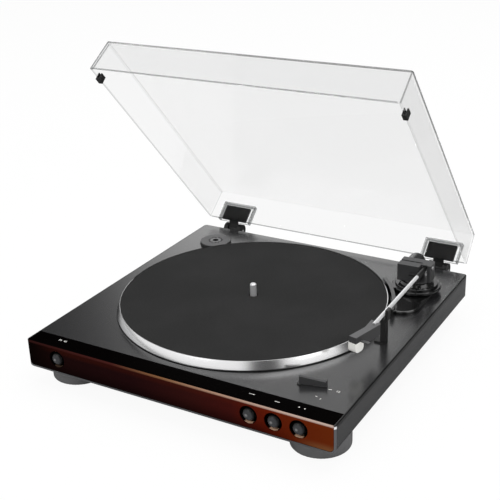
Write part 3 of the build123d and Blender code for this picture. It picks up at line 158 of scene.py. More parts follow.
class Tree:
    """A node tree with the few nodes that the finishes share."""

    def __init__(self, tree):
        self.tree = tree

    def node(self, kind, settings=None, inputs=(), output=0):
        """Adds a node: its settings first, then the values or links of its inputs; gives one output."""
        made = self.tree.nodes.new(kind)
        for key, value in (settings or {}).items():
            if key == "stops":
                ramp = made.color_ramp.elements
                while len(ramp) < len(value):
                    ramp.new(0.5)
                for element, (place, colour) in zip(ramp, value):
                    element.position = place
                    element.color = colour
            else:
                setattr(made, key, value)
        pairs = inputs.items() if isinstance(inputs, dict) else enumerate(inputs)
        for key, value in pairs:
            if isinstance(value, Value):
                self.tree.links.new(value.socket, made.inputs[key])
            else:
                made.inputs[key].default_value = value
        return Value(self, made.outputs[output])

    def place(self):
        """Object coordinates, in metres in the frame of the whole player."""
        return self.node("ShaderNodeTexCoord", output="Object")

    def axes(self, vector):
        """The x, y and z of a vector."""
        made = self.node("ShaderNodeSeparateXYZ", None, [vector]).socket.node
        return [Value(self, socket) for socket in made.outputs]

    def millimetres(self):
        """The x, y and z of the Object coordinates, in millimetres."""
        return [axis * (1 / MM) for axis in self.axes(self.place())]

    def joined(self, across, back, up):
        """A vector made of its three axes."""
        return self.node("ShaderNodeCombineXYZ", None, [across, back, up])

    def shifted(self, vector, location, scale=(1, 1, 1), turn=(0, 0, 0)):
        """A vector turned, stretched and moved by a Mapping node."""
        settings = {"vector_type": "POINT"}
        values = {"Vector": vector, "Location": location, "Rotation": turn, "Scale": scale}
        return self.node("ShaderNodeMapping", settings, values)

    def noise(self, vector, scale, detail=2.0, rough=0.5):
        values = {"Vector": vector, "Scale": scale, "Detail": detail, "Roughness": rough}
        return self.node("ShaderNodeTexNoise", None, values)

    def ramp(self, value, stops):
        """The colour of a list of (place, colour) stops at value."""
        return self.node("ShaderNodeValToRGB", {"stops": stops}, [value])

    def between(self, value, low, high, start=0.0, end=1.0):
        """Runs smoothly from start to end as value goes from low to high."""
        settings = {"interpolation_type": "SMOOTHSTEP"}
        return self.node("ShaderNodeMapRange", settings, [value, low, high, start, end])

    def size(self, value):
        """The value without its sign."""
        return self.node("ShaderNodeMath", {"operation": "ABSOLUTE"}, [value])

    def larger(self, first, second):
        return self.node("ShaderNodeMath", {"operation": "MAXIMUM"}, [first, second])

    def smaller(self, first, second):
        return self.node("ShaderNodeMath", {"operation": "MINIMUM"}, [first, second])

    def angle(self, rise, run):
        return self.node("ShaderNodeMath", {"operation": "ARCTAN2"}, [rise, run])

    def distance(self, first, second):
        """How far the point (first, second) is from the origin."""
        return (first * first + second * second) ** 0.5

    def mix(self, share, first, second):
        """The first colour where share is 0 and the second where it is 1."""
        settings = {"data_type": "RGBA"}
        return self.node("ShaderNodeMix", settings, {0: share, 6: first, 7: second}, 2)

    def bump(self, height, strength, distance, under=None):
        """A Bump node: height times distance, in metres."""
        values = {"Strength": strength, "Distance": distance, "Height": height}
        if under is not None:
            values["Normal"] = under
        return self.node("ShaderNodeBump", None, values)


class Finish(Tree):
    """A material with one Principled shader; constants go straight on its sockets."""

    def __init__(self, name, **constants):
        self.material = bpy.data.materials.new(name)
        self.material.use_nodes = True
        super().__init__(self.material.node_tree)
        self.shader = self.tree.nodes["Principled BSDF"]
        self.set(**constants)

    def set(self, **sockets):
        """Sets or links the shader's sockets; base_color stands for Base Color."""
        for key, value in sockets.items():
            words = [word.upper() if word == "ior" else word.title() for word in key.split("_")]
            socket = self.shader.inputs[" ".join(words)]
            if isinstance(value, Value):
                self.tree.links.new(value.socket, socket)
            else:
                socket.default_value = value


def moulded(name, colour, roughness, grain=0.5, grain_size=0.5, gloss=0.5, patch=0.06):
    """Moulded plastic: a fine even grain, slight mottling of colour and roughness."""
    look = Finish(name, specular_ior_level=gloss)
    place = look.place()
    fine = look.noise(place, 1 / (grain_size * MM), 3, 0.6)
    broad = look.noise(place, 26, 3, 0.55)
    darker = [channel * (1 - 2 * patch) for channel in colour[:3]] + [1]
    lighter = [channel * (1 + 2 * patch) for channel in colour[:3]] + [1]
    tone = broad * 0.6 + fine * 0.4
    cloudy = look.between(broad, 0.3, 0.7, roughness - 0.03, roughness + 0.04)
    look.set(base_color=look.mix(look.between(tone, 0.3, 0.7), darker, lighter))
    look.set(roughness=cloudy + (fine - 0.5) * 0.06, normal=look.bump(fine, grain, 0.04 * MM))
    return look


def polished(name, colour, roughness, coat=0.0):
    """Gloss plastic: nearly clear of grain, with faint smudges in its roughness and long soft waves."""
    look = Finish(name, coat_roughness=0.04, coat_weight=coat)
    place = look.place()
    waves = look.noise(place, 9, 2, 0.4)
    smudge = look.noise(place, 45, 4, 0.6)
    deeper = [channel * 0.8 for channel in colour[:3]] + [1]
    look.set(base_color=look.mix(smudge, deeper, colour))
    look.set(roughness=look.between(smudge, 0.35, 0.75, roughness, roughness + 0.05))
    look.set(normal=look.bump(waves, 0.15, 0.4 * MM))
    return look


def rubbery(name, colour, roughness=0.75):
    """Rubber: matt, with a fine dusty speckle."""
    look = Finish(name, specular_ior_level=0.35)
    place = look.place()
    speckle = look.noise(place, 1600, 3, 0.65)
    dust = look.noise(place, 60, 4, 0.6)
    dusty = [channel * 1.7 + 0.004 for channel in colour[:3]] + [1]
    look.set(base_color=look.mix(look.between(dust, 0.5, 0.85), colour, dusty))
    look.set(roughness=roughness + (speckle - 0.5) * 0.15, normal=look.bump(speckle, 0.35, 0.06 * MM))
    return look


def turned(name, colour, roughness, centre=(0, 0, 0), axis="z", pitch=0.25, depth=0.3, metallic=1.0):
    """Turned metal: fine rings about the axis through centre, pitch apart; both in millimetres."""
    look = Finish(name, metallic=metallic)
    place = look.shifted(look.place(), [-value * MM for value in centre])
    parts = dict(zip("xyz", look.axes(place)))
    along = parts.pop(axis)
    radius = look.distance(*parts.values())
    rings = look.noise(look.joined(radius + along * 0.7, 0.0, 0.0), 1 / (pitch * MM), 2, 0.7)
    haze = look.noise(place, 70, 3, 0.5)
    duller = [channel * 0.86 for channel in colour[:3]] + [1]
    look.set(base_color=look.mix(rings, duller, colour))
    look.set(roughness=roughness + (rings - 0.5) * 0.12 + (haze - 0.5) * 0.08)
    look.set(normal=look.bump(rings, depth, 0.03 * MM))
    return look


def plated(name, colour, roughness):
    """Drawn or pressed sheet and plated screws: faint directional streaks and cloudy roughness."""
    look = Finish(name, metallic=1.0)
    place = look.place()
    streaks = look.noise(look.shifted(place, (0, 0, 0), (1, 14, 14)), 160, 3, 0.6)
    clouds = look.noise(place, 130, 3, 0.5)
    duller = [channel * 0.75 for channel in colour[:3]] + [1]
    look.set(base_color=look.mix(clouds, duller, colour))
    look.set(roughness=roughness + (streaks - 0.5) * 0.16 + (clouds - 0.5) * 0.1)
    look.set(normal=look.bump(streaks, 0.15, 0.03 * MM))
    return look


def panel_gradient():
    """The front panel: its colour runs from nearly black at the left, through dark red, to amber brown
    at the right, which is painted reflection over the panel's own brown; its top is black.

    Its rounded upper edge carries a painted highlight, a line that goes from dark red to a greyish peach.
    The colour sinks to the bottom, but not at the right end. The button wells are black, with a painted
    peach glint at their lower mouths. Places are in millimetres, down from the deck and behind the front
    face."""
    look = Finish("panel_gradient", specular_ior_level=0.003)
    place = look.place()
    across, back, up = look.millimetres()
    down = deck_top - up
    behind = back - front_face
    # painted reflection: the run from nearly black at the left to amber brown at the right, over the
    # panel's own brown
    run = look.node("ShaderNodeMapRange", None, [across, case_left, case_right, 0.0, 1.0])
    stops = [
        (0.0, shade(6, 3, 2)),
        (0.15, shade(26, 10, 10)),
        (0.38, shade(30, 11, 12)),
        (0.56, shade(46, 17, 15)),
        (0.7, shade(58, 18, 15)),
        (0.8, shade(86, 23, 9)),
        (1.0, shade(96, 38, 12)),
    ]
    colour = look.ramp(run, stops)
    sunk = look.between(down, 12, 32) * look.between(across, 170, 100)
    colour = look.mix(sunk * 0.7, colour, shade(8, 4, 4))
    warm = look.between(down, 10, 4.5) * look.between(across, -165, -120)
    colour = look.mix(warm * 0.07, colour, shade(120, 40, 4))
    corner = look.between(down, 20, 28) * look.between(across, 140, 180)
    colour = look.mix(corner * 0.6, colour, shade(118, 82, 52))
    # painted highlight along the panel's rounded upper edge, from dark red at the left to greyish peach at
    # the right
    edge_highlight_stops = [
        (0.03, shade(44, 20, 18)),
        (0.31, shade(66, 30, 27)),
        (0.48, shade(124, 87, 58)),
        (0.65, shade(164, 130, 110)),
        (0.9, shade(188, 165, 153)),
    ]
    edge_highlight_colour = look.mix(look.between(down, 1.2, 2.6, 0.0, 0.45), look.ramp(run, edge_highlight_stops), colour)
    edge = look.between(down, 2.9, 2.3) * look.between(behind, 1.4, 1.1)
    colour = look.mix(edge, colour, edge_highlight_colour)
    wells = look.between(behind, 0.4, 0.7) * look.between(down, 3.4, 3.8)
    colour = look.mix(wells, colour, shade(4, 3, 3))
    for middle in button_middles:
        height = up - button_height
        radius = look.distance(across - middle, height)
        mouth = look.between(radius, 8.8, 9.1) * look.between(radius, 10.1, 9.9)
        # painted highlight: a peach glint on the lower mouth of each well
        glint = mouth * look.between(height, -7.8, -8.6) * look.between(across, -200, 100)
        glint = glint * look.between(behind, 0.6, 0.9) * look.between(behind, 4.9, 4.1)
        colour = look.mix(glint, colour, shade(250, 205, 172))
    top = look.between(behind, 1.1, 1.4) * look.between(down, 1.2, 0.6)
    smudge = look.noise(place, 40, 4, 0.6)
    look.set(base_color=look.mix(top, colour, shade(4, 3, 3)))
    look.set(roughness=look.between(smudge, 0.35, 0.75, 0.05, 0.09))
    look.set(normal=look.bump(look.noise(place, 8, 2, 0.4), 0.1, 0.3 * MM))
    return look


def cap_gloss():
    """The button caps: gloss dark grey with painted light: lighter on the dome top, a small painted
    highlight left of the middle, and painted shade that leaves their sides black.
    """
    look = Finish("button_gloss", specular_ior_level=0.12)
    across, _, up = look.millimetres()
    height = up - button_height
    highlight_offset_left = 1.2
    # painted shade: the caps are black down their sides
    colour = shade(7, 7, 7)
    for middle in button_middles:
        beside = across - middle
        # painted light: each cap is lighter on its dome top, with a small painted highlight left of the
        # middle
        lit_crown = look.between(look.distance(beside, height), 6.6, 3.6)
        colour = look.mix(lit_crown, colour, shade(66, 67, 69))
        highlight_spot = look.between(look.distance(beside + highlight_offset_left, height), 2.1, 0.6)
        colour = look.mix(highlight_spot, colour, shade(126, 126, 127))
    smudge = look.noise(look.place(), 300, 4, 0.6)
    look.set(base_color=look.mix(smudge * 0.3, colour, shade(20, 20, 20)))
    look.set(roughness=look.between(smudge, 0.35, 0.75, 0.1, 0.16))
    return look


def case_shell():
    """The case: smooth satin black, with painted shade as dark lines along its top side edges and its
    rounded skirt.

    Its side walls are painted lighter, as lit. The band round the front panel is painted lighter as a
    highlight, and so is the standing corner at the right, brightest at its top. Places are in millimetres
    from the nearer side, the deck, the front and the bottom."""
    look = Finish("case_plastic", specular_ior_level=0.3, coat_roughness=0.24)
    across, back, up = look.millimetres()
    inward = case_half - look.size(across - case_middle)
    down = deck_top - up
    behind = back - front_face
    raised = up - case_bottom
    fine = look.noise(look.place(), 2200, 3, 0.6)
    colour = look.mix(look.between(fine, 0.3, 0.7), shade(27, 27, 28), shade(33, 33, 34))
    # painted light: the side walls are lighter than the deck
    wall = look.between(inward, 0.95, 0.45)
    colour = look.mix(wall, colour, shade(53, 53, 54))
    # painted shade: dark lines along the top side edges and along the rounded skirt
    line = look.between(inward, 1.85, 1.35) * look.between(down, 4.6, 3.6)
    skirt = look.between(raised, 7.8, 4.6) * look.between(inward, 7.75, 5.75)
    colour = look.mix(look.larger(line, skirt * 0.85), colour, shade(5, 5, 5))
    # painted highlight on the band round the front panel
    lit_border = look.between(behind, 0.6, 0.2) * look.between(inward, 29.75, -0.25, 0.6, 1.0)
    colour = look.mix(lit_border, colour, shade(88, 88, 90))
    # painted highlight on the standing corner at the right, brightest near its top
    upright_highlight = look.between(case_right - across, 2.55, 1.85) * look.between(behind, 3.5, 2.5)
    colour = look.mix(upright_highlight * look.between(down, 1.0, 2.0), colour, shade(88, 88, 91))
    highlight_spot = look.between(down, 4.8, 3.8) * look.between(down, 1.2, 2.2)
    colour = look.mix(upright_highlight * highlight_spot, colour, shade(240, 240, 242))
    look.set(base_color=colour, coat_weight=(1 - wall) * (1 - line))
    look.set(roughness=0.26 + (fine - 0.5) * 0.05, normal=look.bump(fine, 0.08, 0.03 * MM))
    return look


def rim_aluminium():
    """The platter: satin aluminium turned in fine rings, its rim slightly barrelled, with painted shade
    on the top of its rim at the back.

    The barrel is a bump that falls off with the square of the height from the rim's middle."""
    look = Finish("rim_aluminium", metallic=1.0)
    across, back, up = look.millimetres()
    rings = look.noise(look.joined(look.distance(across, back) + up * 0.9, 0.0, 0.0), 5.2, 2, 0.7)
    angle = look.angle(back, across)
    broad = look.noise(look.joined(angle, up * 0.03, 0.0), 2.2, 2, 0.5)
    # painted shade: the top of the rim at the back is dark and rougher; it is placed by angle round the
    # spindle, so it turns with the platter
    behind = look.between(angle, 0.5, 0.7) + look.between(angle, -2.9, -3.0)
    shaded_lip = look.between(up, -0.4, -0.2) * behind
    rim_middle = -4.1
    from_middle = up - rim_middle
    barrel = look.bump(from_middle * from_middle * -0.012, 1.0, MM)
    colour = look.mix(rings, shade(224, 224, 225), shade(241, 241, 241))
    look.set(base_color=look.mix(shaded_lip, colour, shade(46, 46, 46)))
    look.set(roughness=0.2 + shaded_lip * 0.4 + (rings - 0.5) * 0.08 + (broad - 0.5) * 0.05)
    look.set(normal=look.bump(rings, 0.2, 0.03 * MM, barrel))
    return look


def black_felt():
    """Felt: matted short fibres as stretched noise in three directions, with sparse pale lint."""
    look = Finish("black_felt", roughness=0.97, specular_ior_level=0.05)
    place = look.place()
    fibres = [
        look.noise(look.shifted(place, (0, 0, 0), (1, 9, 1), (0, 0, turn)), 420, 4, 0.7)
        for turn in (0.3, 1.4, 2.4)
    ]
    matted = (fibres[0] + fibres[1] + fibres[2]) / 3
    lint = look.between(look.noise(place, 900, 3, 0.8), 0.62, 0.8)
    patches = look.noise(place, 12, 3, 0.5)
    tone = look.between(matted, 0.36, 0.64)
    colour = look.mix(tone, shade(36, 36, 36), shade(53, 53, 53))
    colour = look.mix(look.between(patches, 0.35, 0.7) * 0.25, colour, shade(60, 60, 60))
    look.set(base_color=look.mix(lint * 0.3, colour, shade(84, 84, 84)))
    look.set(normal=look.bump(matted + lint * 0.3, 0.6, 0.2 * MM))
    return look


def clear_acrylic():
    """The clear cover: nearly all light goes straight through it; its cut and rounded edges are painted
    grey, a painted shade in place of the refraction and reflection along them.

    The edges are found in the closed cover's own frame, which is turned open about the hinge axis: height
    above the opening, and the distances in from the leaning side walls and front wall. Behind the rear
    wall, the edges of the two pockets for the hinge leaves are painted grey as well."""
    look = Finish("clear_acrylic", transmission_weight=1.0, ior=1.2)
    across, back, up = look.millimetres()
    turn = math.radians(cover_opening)
    behind, raised = back - hinge_axis[1], up - hinge_axis[2]
    along = behind * math.cos(turn) - raised * math.sin(turn)
    height = behind * math.sin(turn) + raised * math.cos(turn) - cover_seat
    aside = look.size(across - case_middle)
    side = cover_half - height * (side_lean / cover_height) - aside
    front = along + cover_front - height * (front_lean / cover_height)
    rear = along + cover_front - cover_length
    # painted shade: the grey along the cover's edges, weighted differently from left to right
    right = look.between(across, -50, 100)
    opening = look.between(height, 0.7, 0.3)
    opening = opening * (1 - look.between(side, 4.0, 3.0) * (0.45 + right * 0.2))
    inner_line = 3.4
    front_lines = look.between(front, 1.8, 1.2) + look.between(look.size(front - inner_line), 0.9, 0.5)
    side_lines = look.between(side, 2.6, 1.8) * (0.3 + right * 0.7)
    crest = (front_lines + side_lines) * look.between(cover_height - height, 2.2, 1.5)
    reach = 4.8 - right * 2.8
    front_corner = look.between(side, reach, reach * 0.6) * look.between(front, reach, reach * 0.6)
    rear_corner = look.between(rear, -2.23, -1.63) * look.between(side, 1.8, 1.0)
    beyond_pocket = look.larger(look.size(aside - pocket_place) - pocket_half, height - pocket_height)
    outline = look.smaller(look.size(beyond_pocket + cover_wall), beyond_pocket * -1)
    pocket = look.between(rear, 0.07, 0.47) * look.between(outline, 0.9, 0.5)
    edge = look.smaller(opening + crest + pocket + front_corner + rear_corner * 0.5, 1.0)
    haze = look.noise(look.place(), 30, 4, 0.6)
    clear = look.mix(haze, shade(198, 200, 200), shade(208, 209, 209))
    # painted shade: grey colour and higher alpha along the edges
    look.set(base_color=look.mix(edge, clear, shade(112, 114, 114)))
    look.set(roughness=look.between(haze, 0.45, 0.8, 0.0, 0.03))
    look.set(alpha=0.13 + edge * 0.7)
    return look


def arm_dark():
    """The arm rest, lifter, sleeve and size selector: fine-grained black, grey on the selector in front."""
    look = Finish("arm_black", specular_ior_level=0.35)
    back = look.millimetres()[1]
    fine = look.noise(look.place(), 2000, 3, 0.6)
    tone = look.mix(look.between(back, -110, -100), shade(62, 62, 63), shade(22, 22, 22))
    look.set(base_color=look.mix((fine - 0.3) * 0.2, tone, shade(60, 60, 60)))
    look.set(roughness=0.36 + (fine - 0.5) * 0.1, normal=look.bump(fine, 0.25, 0.04 * MM))
    return look


def arm_satin():
    """The head shell and the yoke: satin grey with a fine grain, and painted light that makes their upward
    faces lighter, most on the head shell.
    """
    look = Finish("arm_grey", specular_ior_level=0.4)
    back = look.millimetres()[1]
    facing = look.axes(look.node("ShaderNodeTexCoord", output="Normal"))[2]
    fine = look.noise(look.place(), 2000, 3, 0.6)
    # painted light: upward faces are lighter, more on the head shell in front than on the yoke behind
    top = look.mix(look.between(back, 60, 90), shade(84, 84, 85), shade(60, 60, 61))
    tone = look.mix(look.between(facing, 0.5, 0.95), shade(53, 53, 54), top)
    look.set(base_color=look.mix((fine - 0.3) * 0.25, tone, shade(84, 84, 84)))
    look.set(roughness=0.42 + (fine - 0.5) * 0.1, normal=look.bump(fine, 0.3, 0.04 * MM))
    return look


def adapter_grey():
    """The loose adapter: a satin grey top with a pale collar, dark notches, rubbed edge, and painted shade
    that makes its sides black.
    """
    look = Finish("adapter_grey", specular_ior_level=0.7)
    place = look.place()
    across, back, up = look.millimetres()
    across, back = across - adapter_middle[0], back - adapter_middle[1]
    radius = look.distance(across, back)
    fine = look.noise(place, 1800, 3, 0.6)
    rubbed = look.noise(place, 180, 4, 0.7)
    worn = look.between(radius, 16.5, 18.0) * look.between(rubbed, 0.35, 0.7)
    colour = look.mix(worn * 0.4, shade(60, 60, 61), shade(110, 110, 111))
    collar = look.between(radius, 3.8, 4.4) * look.between(radius, 6.8, 6.0)
    colour = look.mix(collar, colour, shade(98, 98, 99))
    notch_count = 6
    wave = look.node("ShaderNodeMath", {"operation": "SINE"}, [look.angle(back, across) * notch_count])
    notches = look.between(radius, 7.2, 7.6) * look.between(radius, 9.8, 9.4)
    notches = notches * look.between(wave, -0.2, 0.2)
    colour = look.mix(notches * 0.85, colour, shade(12, 12, 12))
    # painted shade: all below the top face, the sides and the hole's wall, is black
    low = look.between(adapter_top - up, 0.4, 0.8)
    look.set(base_color=look.mix(low, colour, shade(9, 9, 9)))
    look.set(roughness=0.36 + low * 0.3 + (fine - 0.5) * 0.1, normal=look.bump(fine, 0.3, 0.04 * MM))
    return look


def board_lacquer():
    """The circuit board: green lacquer over a faint net of tracks."""
    look = Finish("board_lacquer", specular_ior_level=0.5, coat_weight=0.3)
    net = {"Vector": look.place(), "Scale": 230.0}
    tracks = look.node("ShaderNodeTexVoronoi", {"feature": "DISTANCE_TO_EDGE"}, net)
    line = look.between(tracks, 0.03, 0.08, 1.0, 0.0)
    look.set(base_color=look.mix(line, shade(22, 92, 50), shade(46, 128, 74)))
    look.set(roughness=0.3 + line * 0.1, normal=look.bump(line, 0.3, 0.04 * MM))
    return look


finishes = {
    "case_plastic": case_shell(),
    "cover_plate": moulded("cover_plate", shade(34, 34, 34), roughness=0.55, grain=0.6, grain_size=0.8),
    "panel_gloss": panel_gradient(),
    "button_gloss": cap_gloss(),
    "foot_plastic": moulded("foot_plastic", shade(104, 104, 105), roughness=0.38, grain=0.3),
    "foot_rubber": rubbery("foot_rubber", shade(40, 40, 40)),
    "screw_steel": plated("screw_steel", shade(150, 150, 152), roughness=0.35),
    "spindle_steel": turned(
        "spindle_steel", shade(236, 236, 237), roughness=0.3, pitch=0.5, depth=0.1, metallic=0.5
    ),
    "seat_metal": turned("seat_metal", shade(188, 188, 186), roughness=0.3),
    "washer_plastic": moulded("washer_plastic", shade(236, 234, 226), roughness=0.45, grain=0.2),
    "platter_aluminium": rim_aluminium(),
    "bush_brass": turned("bush_brass", shade(214, 180, 106), roughness=0.25, pitch=0.3),
    "gear_plastic": moulded("gear_plastic", shade(226, 222, 210), roughness=0.4, grain=0.25),
    "mat_felt": black_felt(),
    "motor_metal": plated("motor_metal", shade(196, 196, 196), roughness=0.3),
    "bracket_steel": plated("bracket_steel", shade(200, 200, 200), roughness=0.35),
    "soft_rubber": rubbery("soft_rubber", shade(52, 52, 52)),
    "belt_rubber": rubbery("belt_rubber", shade(38, 38, 38), roughness=0.6),
    "shaft_steel": turned(
        "shaft_steel", shade(206, 206, 206), roughness=0.2, centre=arm_pivot, pitch=0.4, depth=0.15
    ),
    "base_gloss": polished("base_gloss", shade(20, 20, 20), roughness=0.1, coat=0.3),
    "arm_black": arm_dark(),
    "arm_grey": arm_satin(),
    "weight_metal": polished("weight_metal", shade(30, 30, 30), roughness=0.22),
    "tube_aluminium": turned(
        "tube_aluminium",
        shade(246, 246, 247),
        roughness=0.3,
        centre=arm_pivot,
        axis="y",
        pitch=0.6,
        depth=0.08,
        metallic=0.45,
    ),
    "cartridge_black": moulded("cartridge_black", shade(26, 26, 26), roughness=0.5, grain=0.3),
    "stylus_white": moulded("stylus_white", shade(252, 251, 246), roughness=0.35, grain=0.2, patch=0.02),
    "cantilever_metal": plated("cantilever_metal", shade(210, 210, 210), roughness=0.3),
    "adapter_plastic": adapter_grey(),
    "clear_plastic": clear_acrylic(),
    "hinge_black": moulded("hinge_black", shade(16, 16, 16), roughness=0.5, grain=0.3, gloss=0.25),
    "bumper_rubber": rubbery("bumper_rubber", shade(30, 30, 30)),
    "socket_black": moulded("socket_black", shade(28, 28, 28), roughness=0.5, grain=0.4),
    "board_green": board_lacquer(),
}
for subpart in frame["record"]["subparts"]:
    shape = nodes[subpart["node"]].data
    shape.materials.clear()
    shape.materials.append(finishes[subpart["material_slot"]].material)


def placed(name, mesh, slot, body):
    """Puts a mesh into the scene as a piece with a slot's finish, riding on a body."""
    mesh.materials.clear()
    mesh.materials.append(finishes[slot].material)
    made = bpy.data.objects.new(name, mesh)
    bpy.context.scene.collection.objects.link(made)
    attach(made, body)
    return made


def piece(name, points, faces, slot, body, smooth=True):
    """Makes a piece of points (any grid of x, y, z in metres) and a list of faces."""
    flat = np.asarray(points, float).reshape(-1, 3)
    mesh = bpy.data.meshes.new(name)
    mesh.from_pydata(flat.tolist(), [], faces)
    mesh.polygons.foreach_set("use_smooth", np.full(len(mesh.polygons), smooth))
    return placed(name, mesh, slot, body)


def closed_grid_faces(rows, columns):
    """Corner numbers of the quads of a rows by columns grid that closes on itself both ways."""
    row = np.arange(rows)[:, None]
    column = np.arange(columns)[None, :]
    next_row = (row + 1) % rows
    next_column = (column + 1) % columns
    quads = [
        row * columns + column,
        row * columns + next_column,
        next_row * columns + next_column,
        next_row * columns + column,
    ]
    return np.stack(np.broadcast_arrays(*quads), -1).reshape(-1, 4).tolist()


def felt_mat():
    """A disc of felt with a hole: the profile (radius, height) is carried round the spindle by turn.

    A point is (radius cos turn, radius sin turn, height + ripple). radius runs from the hole's wall out
    along the top to the edge's wall, and both edges are quarter circles, whose angle is bend. The ripple
    on the top is ripple_depth (sin(3 turn + 0.09 radius) - 1), with radius in millimetres."""
    around, bend_count, flat_count = 256, 7, 38
    ripple_depth = 0.03
    ripple_floor = -0.5
    turn = np.linspace(0, 2 * math.pi, around, endpoint=False)[:, None]
    bend = np.linspace(0, math.pi / 2, bend_count)
    flat = np.linspace(mat_hole + mat_edge_round, mat_radius - mat_edge_round, flat_count + 2)[1:-1]
    rise_in = mat_hole + mat_edge_round * (1 - np.cos(bend))
    fall_out = mat_radius - mat_edge_round * (1 - np.sin(bend))
    radius = np.concatenate([[mat_hole], rise_in, flat, fall_out, [mat_radius]])
    rise = mat_edge_round * (np.sin(bend) - 1)
    fall = mat_edge_round * (np.cos(bend) - 1)
    height = np.concatenate([[-mat_thickness], rise, np.zeros(flat_count), fall, [-mat_thickness]])
    on_top = height > ripple_floor
    ripple = ripple_depth * (np.sin(3 * turn + radius * 0.09) - 1) * on_top
    surface = [radius * np.cos(turn), radius * np.sin(turn), height + ripple]
    points = np.stack(np.broadcast_arrays(*surface), -1) * MM
    mat = piece("felt_mat", points, closed_grid_faces(around, len(radius)), "mat_felt", "turning_platter")
    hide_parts("platter_mat")


def printed(name, outline, middle, turn=0.0):
    """A thin raised print on the deck: an outline of (across, back) corners in millimetres, made a prism.

    Each corner is turned by turn about the outline's middle and moved to middle, once at the deck's top and
    once print_thickness above it."""
    rotation = np.array([[math.cos(turn), math.sin(turn)], [-math.sin(turn), math.cos(turn)]])
    flat = np.array(outline, float) @ rotation
    count = len(flat)
    levels = np.repeat([deck_top, deck_top + print_thickness], count)[:, None]
    points = np.hstack([np.tile(flat + middle, (2, 1)), levels]) * MM
    around = np.arange(count)
    following = (around + 1) % count
    walls = np.stack([around, following, following + count, around + count], -1).tolist()
    faces = walls + [(around + count).tolist(), around[::-1].tolist()]
    piece(name, points, faces, "stylus_white", "case", False)


def printed_number(name, words, middle, tall):
    """A number on the deck, set in the plain built-in letters, made a mesh and then moved to its middle."""
    letters = bpy.data.curves.new(name, "FONT")
    letters.body = words
    letters.size = tall * MM
    letters.align_x = "CENTER"
    letters.align_y = "CENTER"
    letters.extrude = print_thickness / 2 * MM
    setter = bpy.data.objects.new(name, letters)
    bpy.context.scene.collection.objects.link(setter)
    view = bpy.context.evaluated_depsgraph_get()
    mesh = bpy.data.meshes.new_from_object(setter.evaluated_get(view))
    bpy.data.objects.remove(setter)
    mesh.transform(Matrix.Translation(Vector((*middle, deck_top + print_thickness / 2)) * MM))
    placed(name, mesh, "stylus_white", "case")


def strip(length, width):
    """The outline of a strip, about its middle."""
    half, edge = length / 2, width / 2
    return [(-half, -edge), (half, -edge), (half, edge), (-half, edge)]


def by_button(middle, right, behind):
    """A place on the deck, right of a button's middle and behind the front face."""
    return middle + right, front_face + behind


def by_selector(right, behind):
    """A place on the deck, right of the selector's axis and behind it."""
    return selector_axis[0] + right, selector_axis[1] + behind


felt_mat()
speed, start, stop, lift = button_middles
point_up = [(-0.9, -0.8), (0.9, -0.8), (0, 0.9)]
arrow = [(-3.2, -0.2), (1.6, -0.2), (1.6, -0.7), (3.2, 0), (1.6, 0.7), (1.6, 0.2), (-3.2, 0.2)]
printed("start_print", arrow, by_button(start, -2.75, 13.5))
printed("stop_print", strip(5.2, 0.6), by_button(stop, -1.65, 12.3))
printed("raise_print", point_up, by_button(lift, -5.75, 13.8))
printed("lower_print", point_up, by_button(lift, 0.25, 13.1), math.pi)
printed("large_record_print", strip(3.4, 0.6), by_selector(30.4, 3.3), math.radians(14))
printed("small_record_print", strip(2.4, 0.5), by_selector(24.1, -13.4), math.radians(-23))
printed_number("slow_number", "33", by_button(speed, -5.45, 14.7), tall=4.0)
printed_number("fast_number", "45", by_button(speed, 1.25, 14.7), tall=4.0)
printed_number("large_record_number", "12", by_selector(38.6, 3.1), tall=4.2)
printed_number("small_record_number", "7", by_selector(29.4, -16.2), tall=3.2)


def studio_floor():
    """A pale floor under the pads: nearly white to the camera, dim in reflections, open from below."""
    reach = 6.0
    mesh = bpy.data.meshes.new("floor")
    square = [(-reach, -reach, 0), (reach, -reach, 0), (reach, reach, 0), (-reach, reach, 0)]
    mesh.from_pydata(square, [], [(0, 1, 2, 3)])
    mesh.transform(Matrix.Translation((0, 0, cad_low.z)))
    look = Finish("floor_white", roughness=0.9, specular_ior_level=0.0)
    look.set(base_color=look.mix(look.noise(look.place(), 3), shade(246, 246, 246), shade(250, 250, 250)))
    path = look.node("ShaderNodeLightPath").socket.node.outputs
    straight = Value(look, path["Is Camera Ray"]) + Value(look, path["Is Transmission Ray"])
    mirrored = Value(look, path["Is Glossy Ray"])
    from_below = look.node("ShaderNodeNewGeometry", output="Backfacing")
    painted = Value(look, look.shader.outputs[0])
    dark = look.node("ShaderNodeEmission", None, {"Color": (1, 1, 1, 1), "Strength": 0.0})
    white = look.node("ShaderNodeEmission", None, {"Color": (1, 1, 1, 1), "Strength": 1.0})
    clear = look.node("ShaderNodeBsdfTransparent")
    shown = look.node("ShaderNodeMixShader", None, [mirrored * 0.7, painted, dark])
    shown = look.node("ShaderNodeMixShader", None, [straight * 0.93, shown, white])
    shown = look.node("ShaderNodeMixShader", None, [from_below, shown, clear])
    look.tree.links.new(shown.socket, look.tree.nodes["Material Output"].inputs["Surface"])
    mesh.materials.append(look.material)
    made = bpy.data.objects.new("floor", mesh)
    bpy.context.scene.collection.objects.link(made)


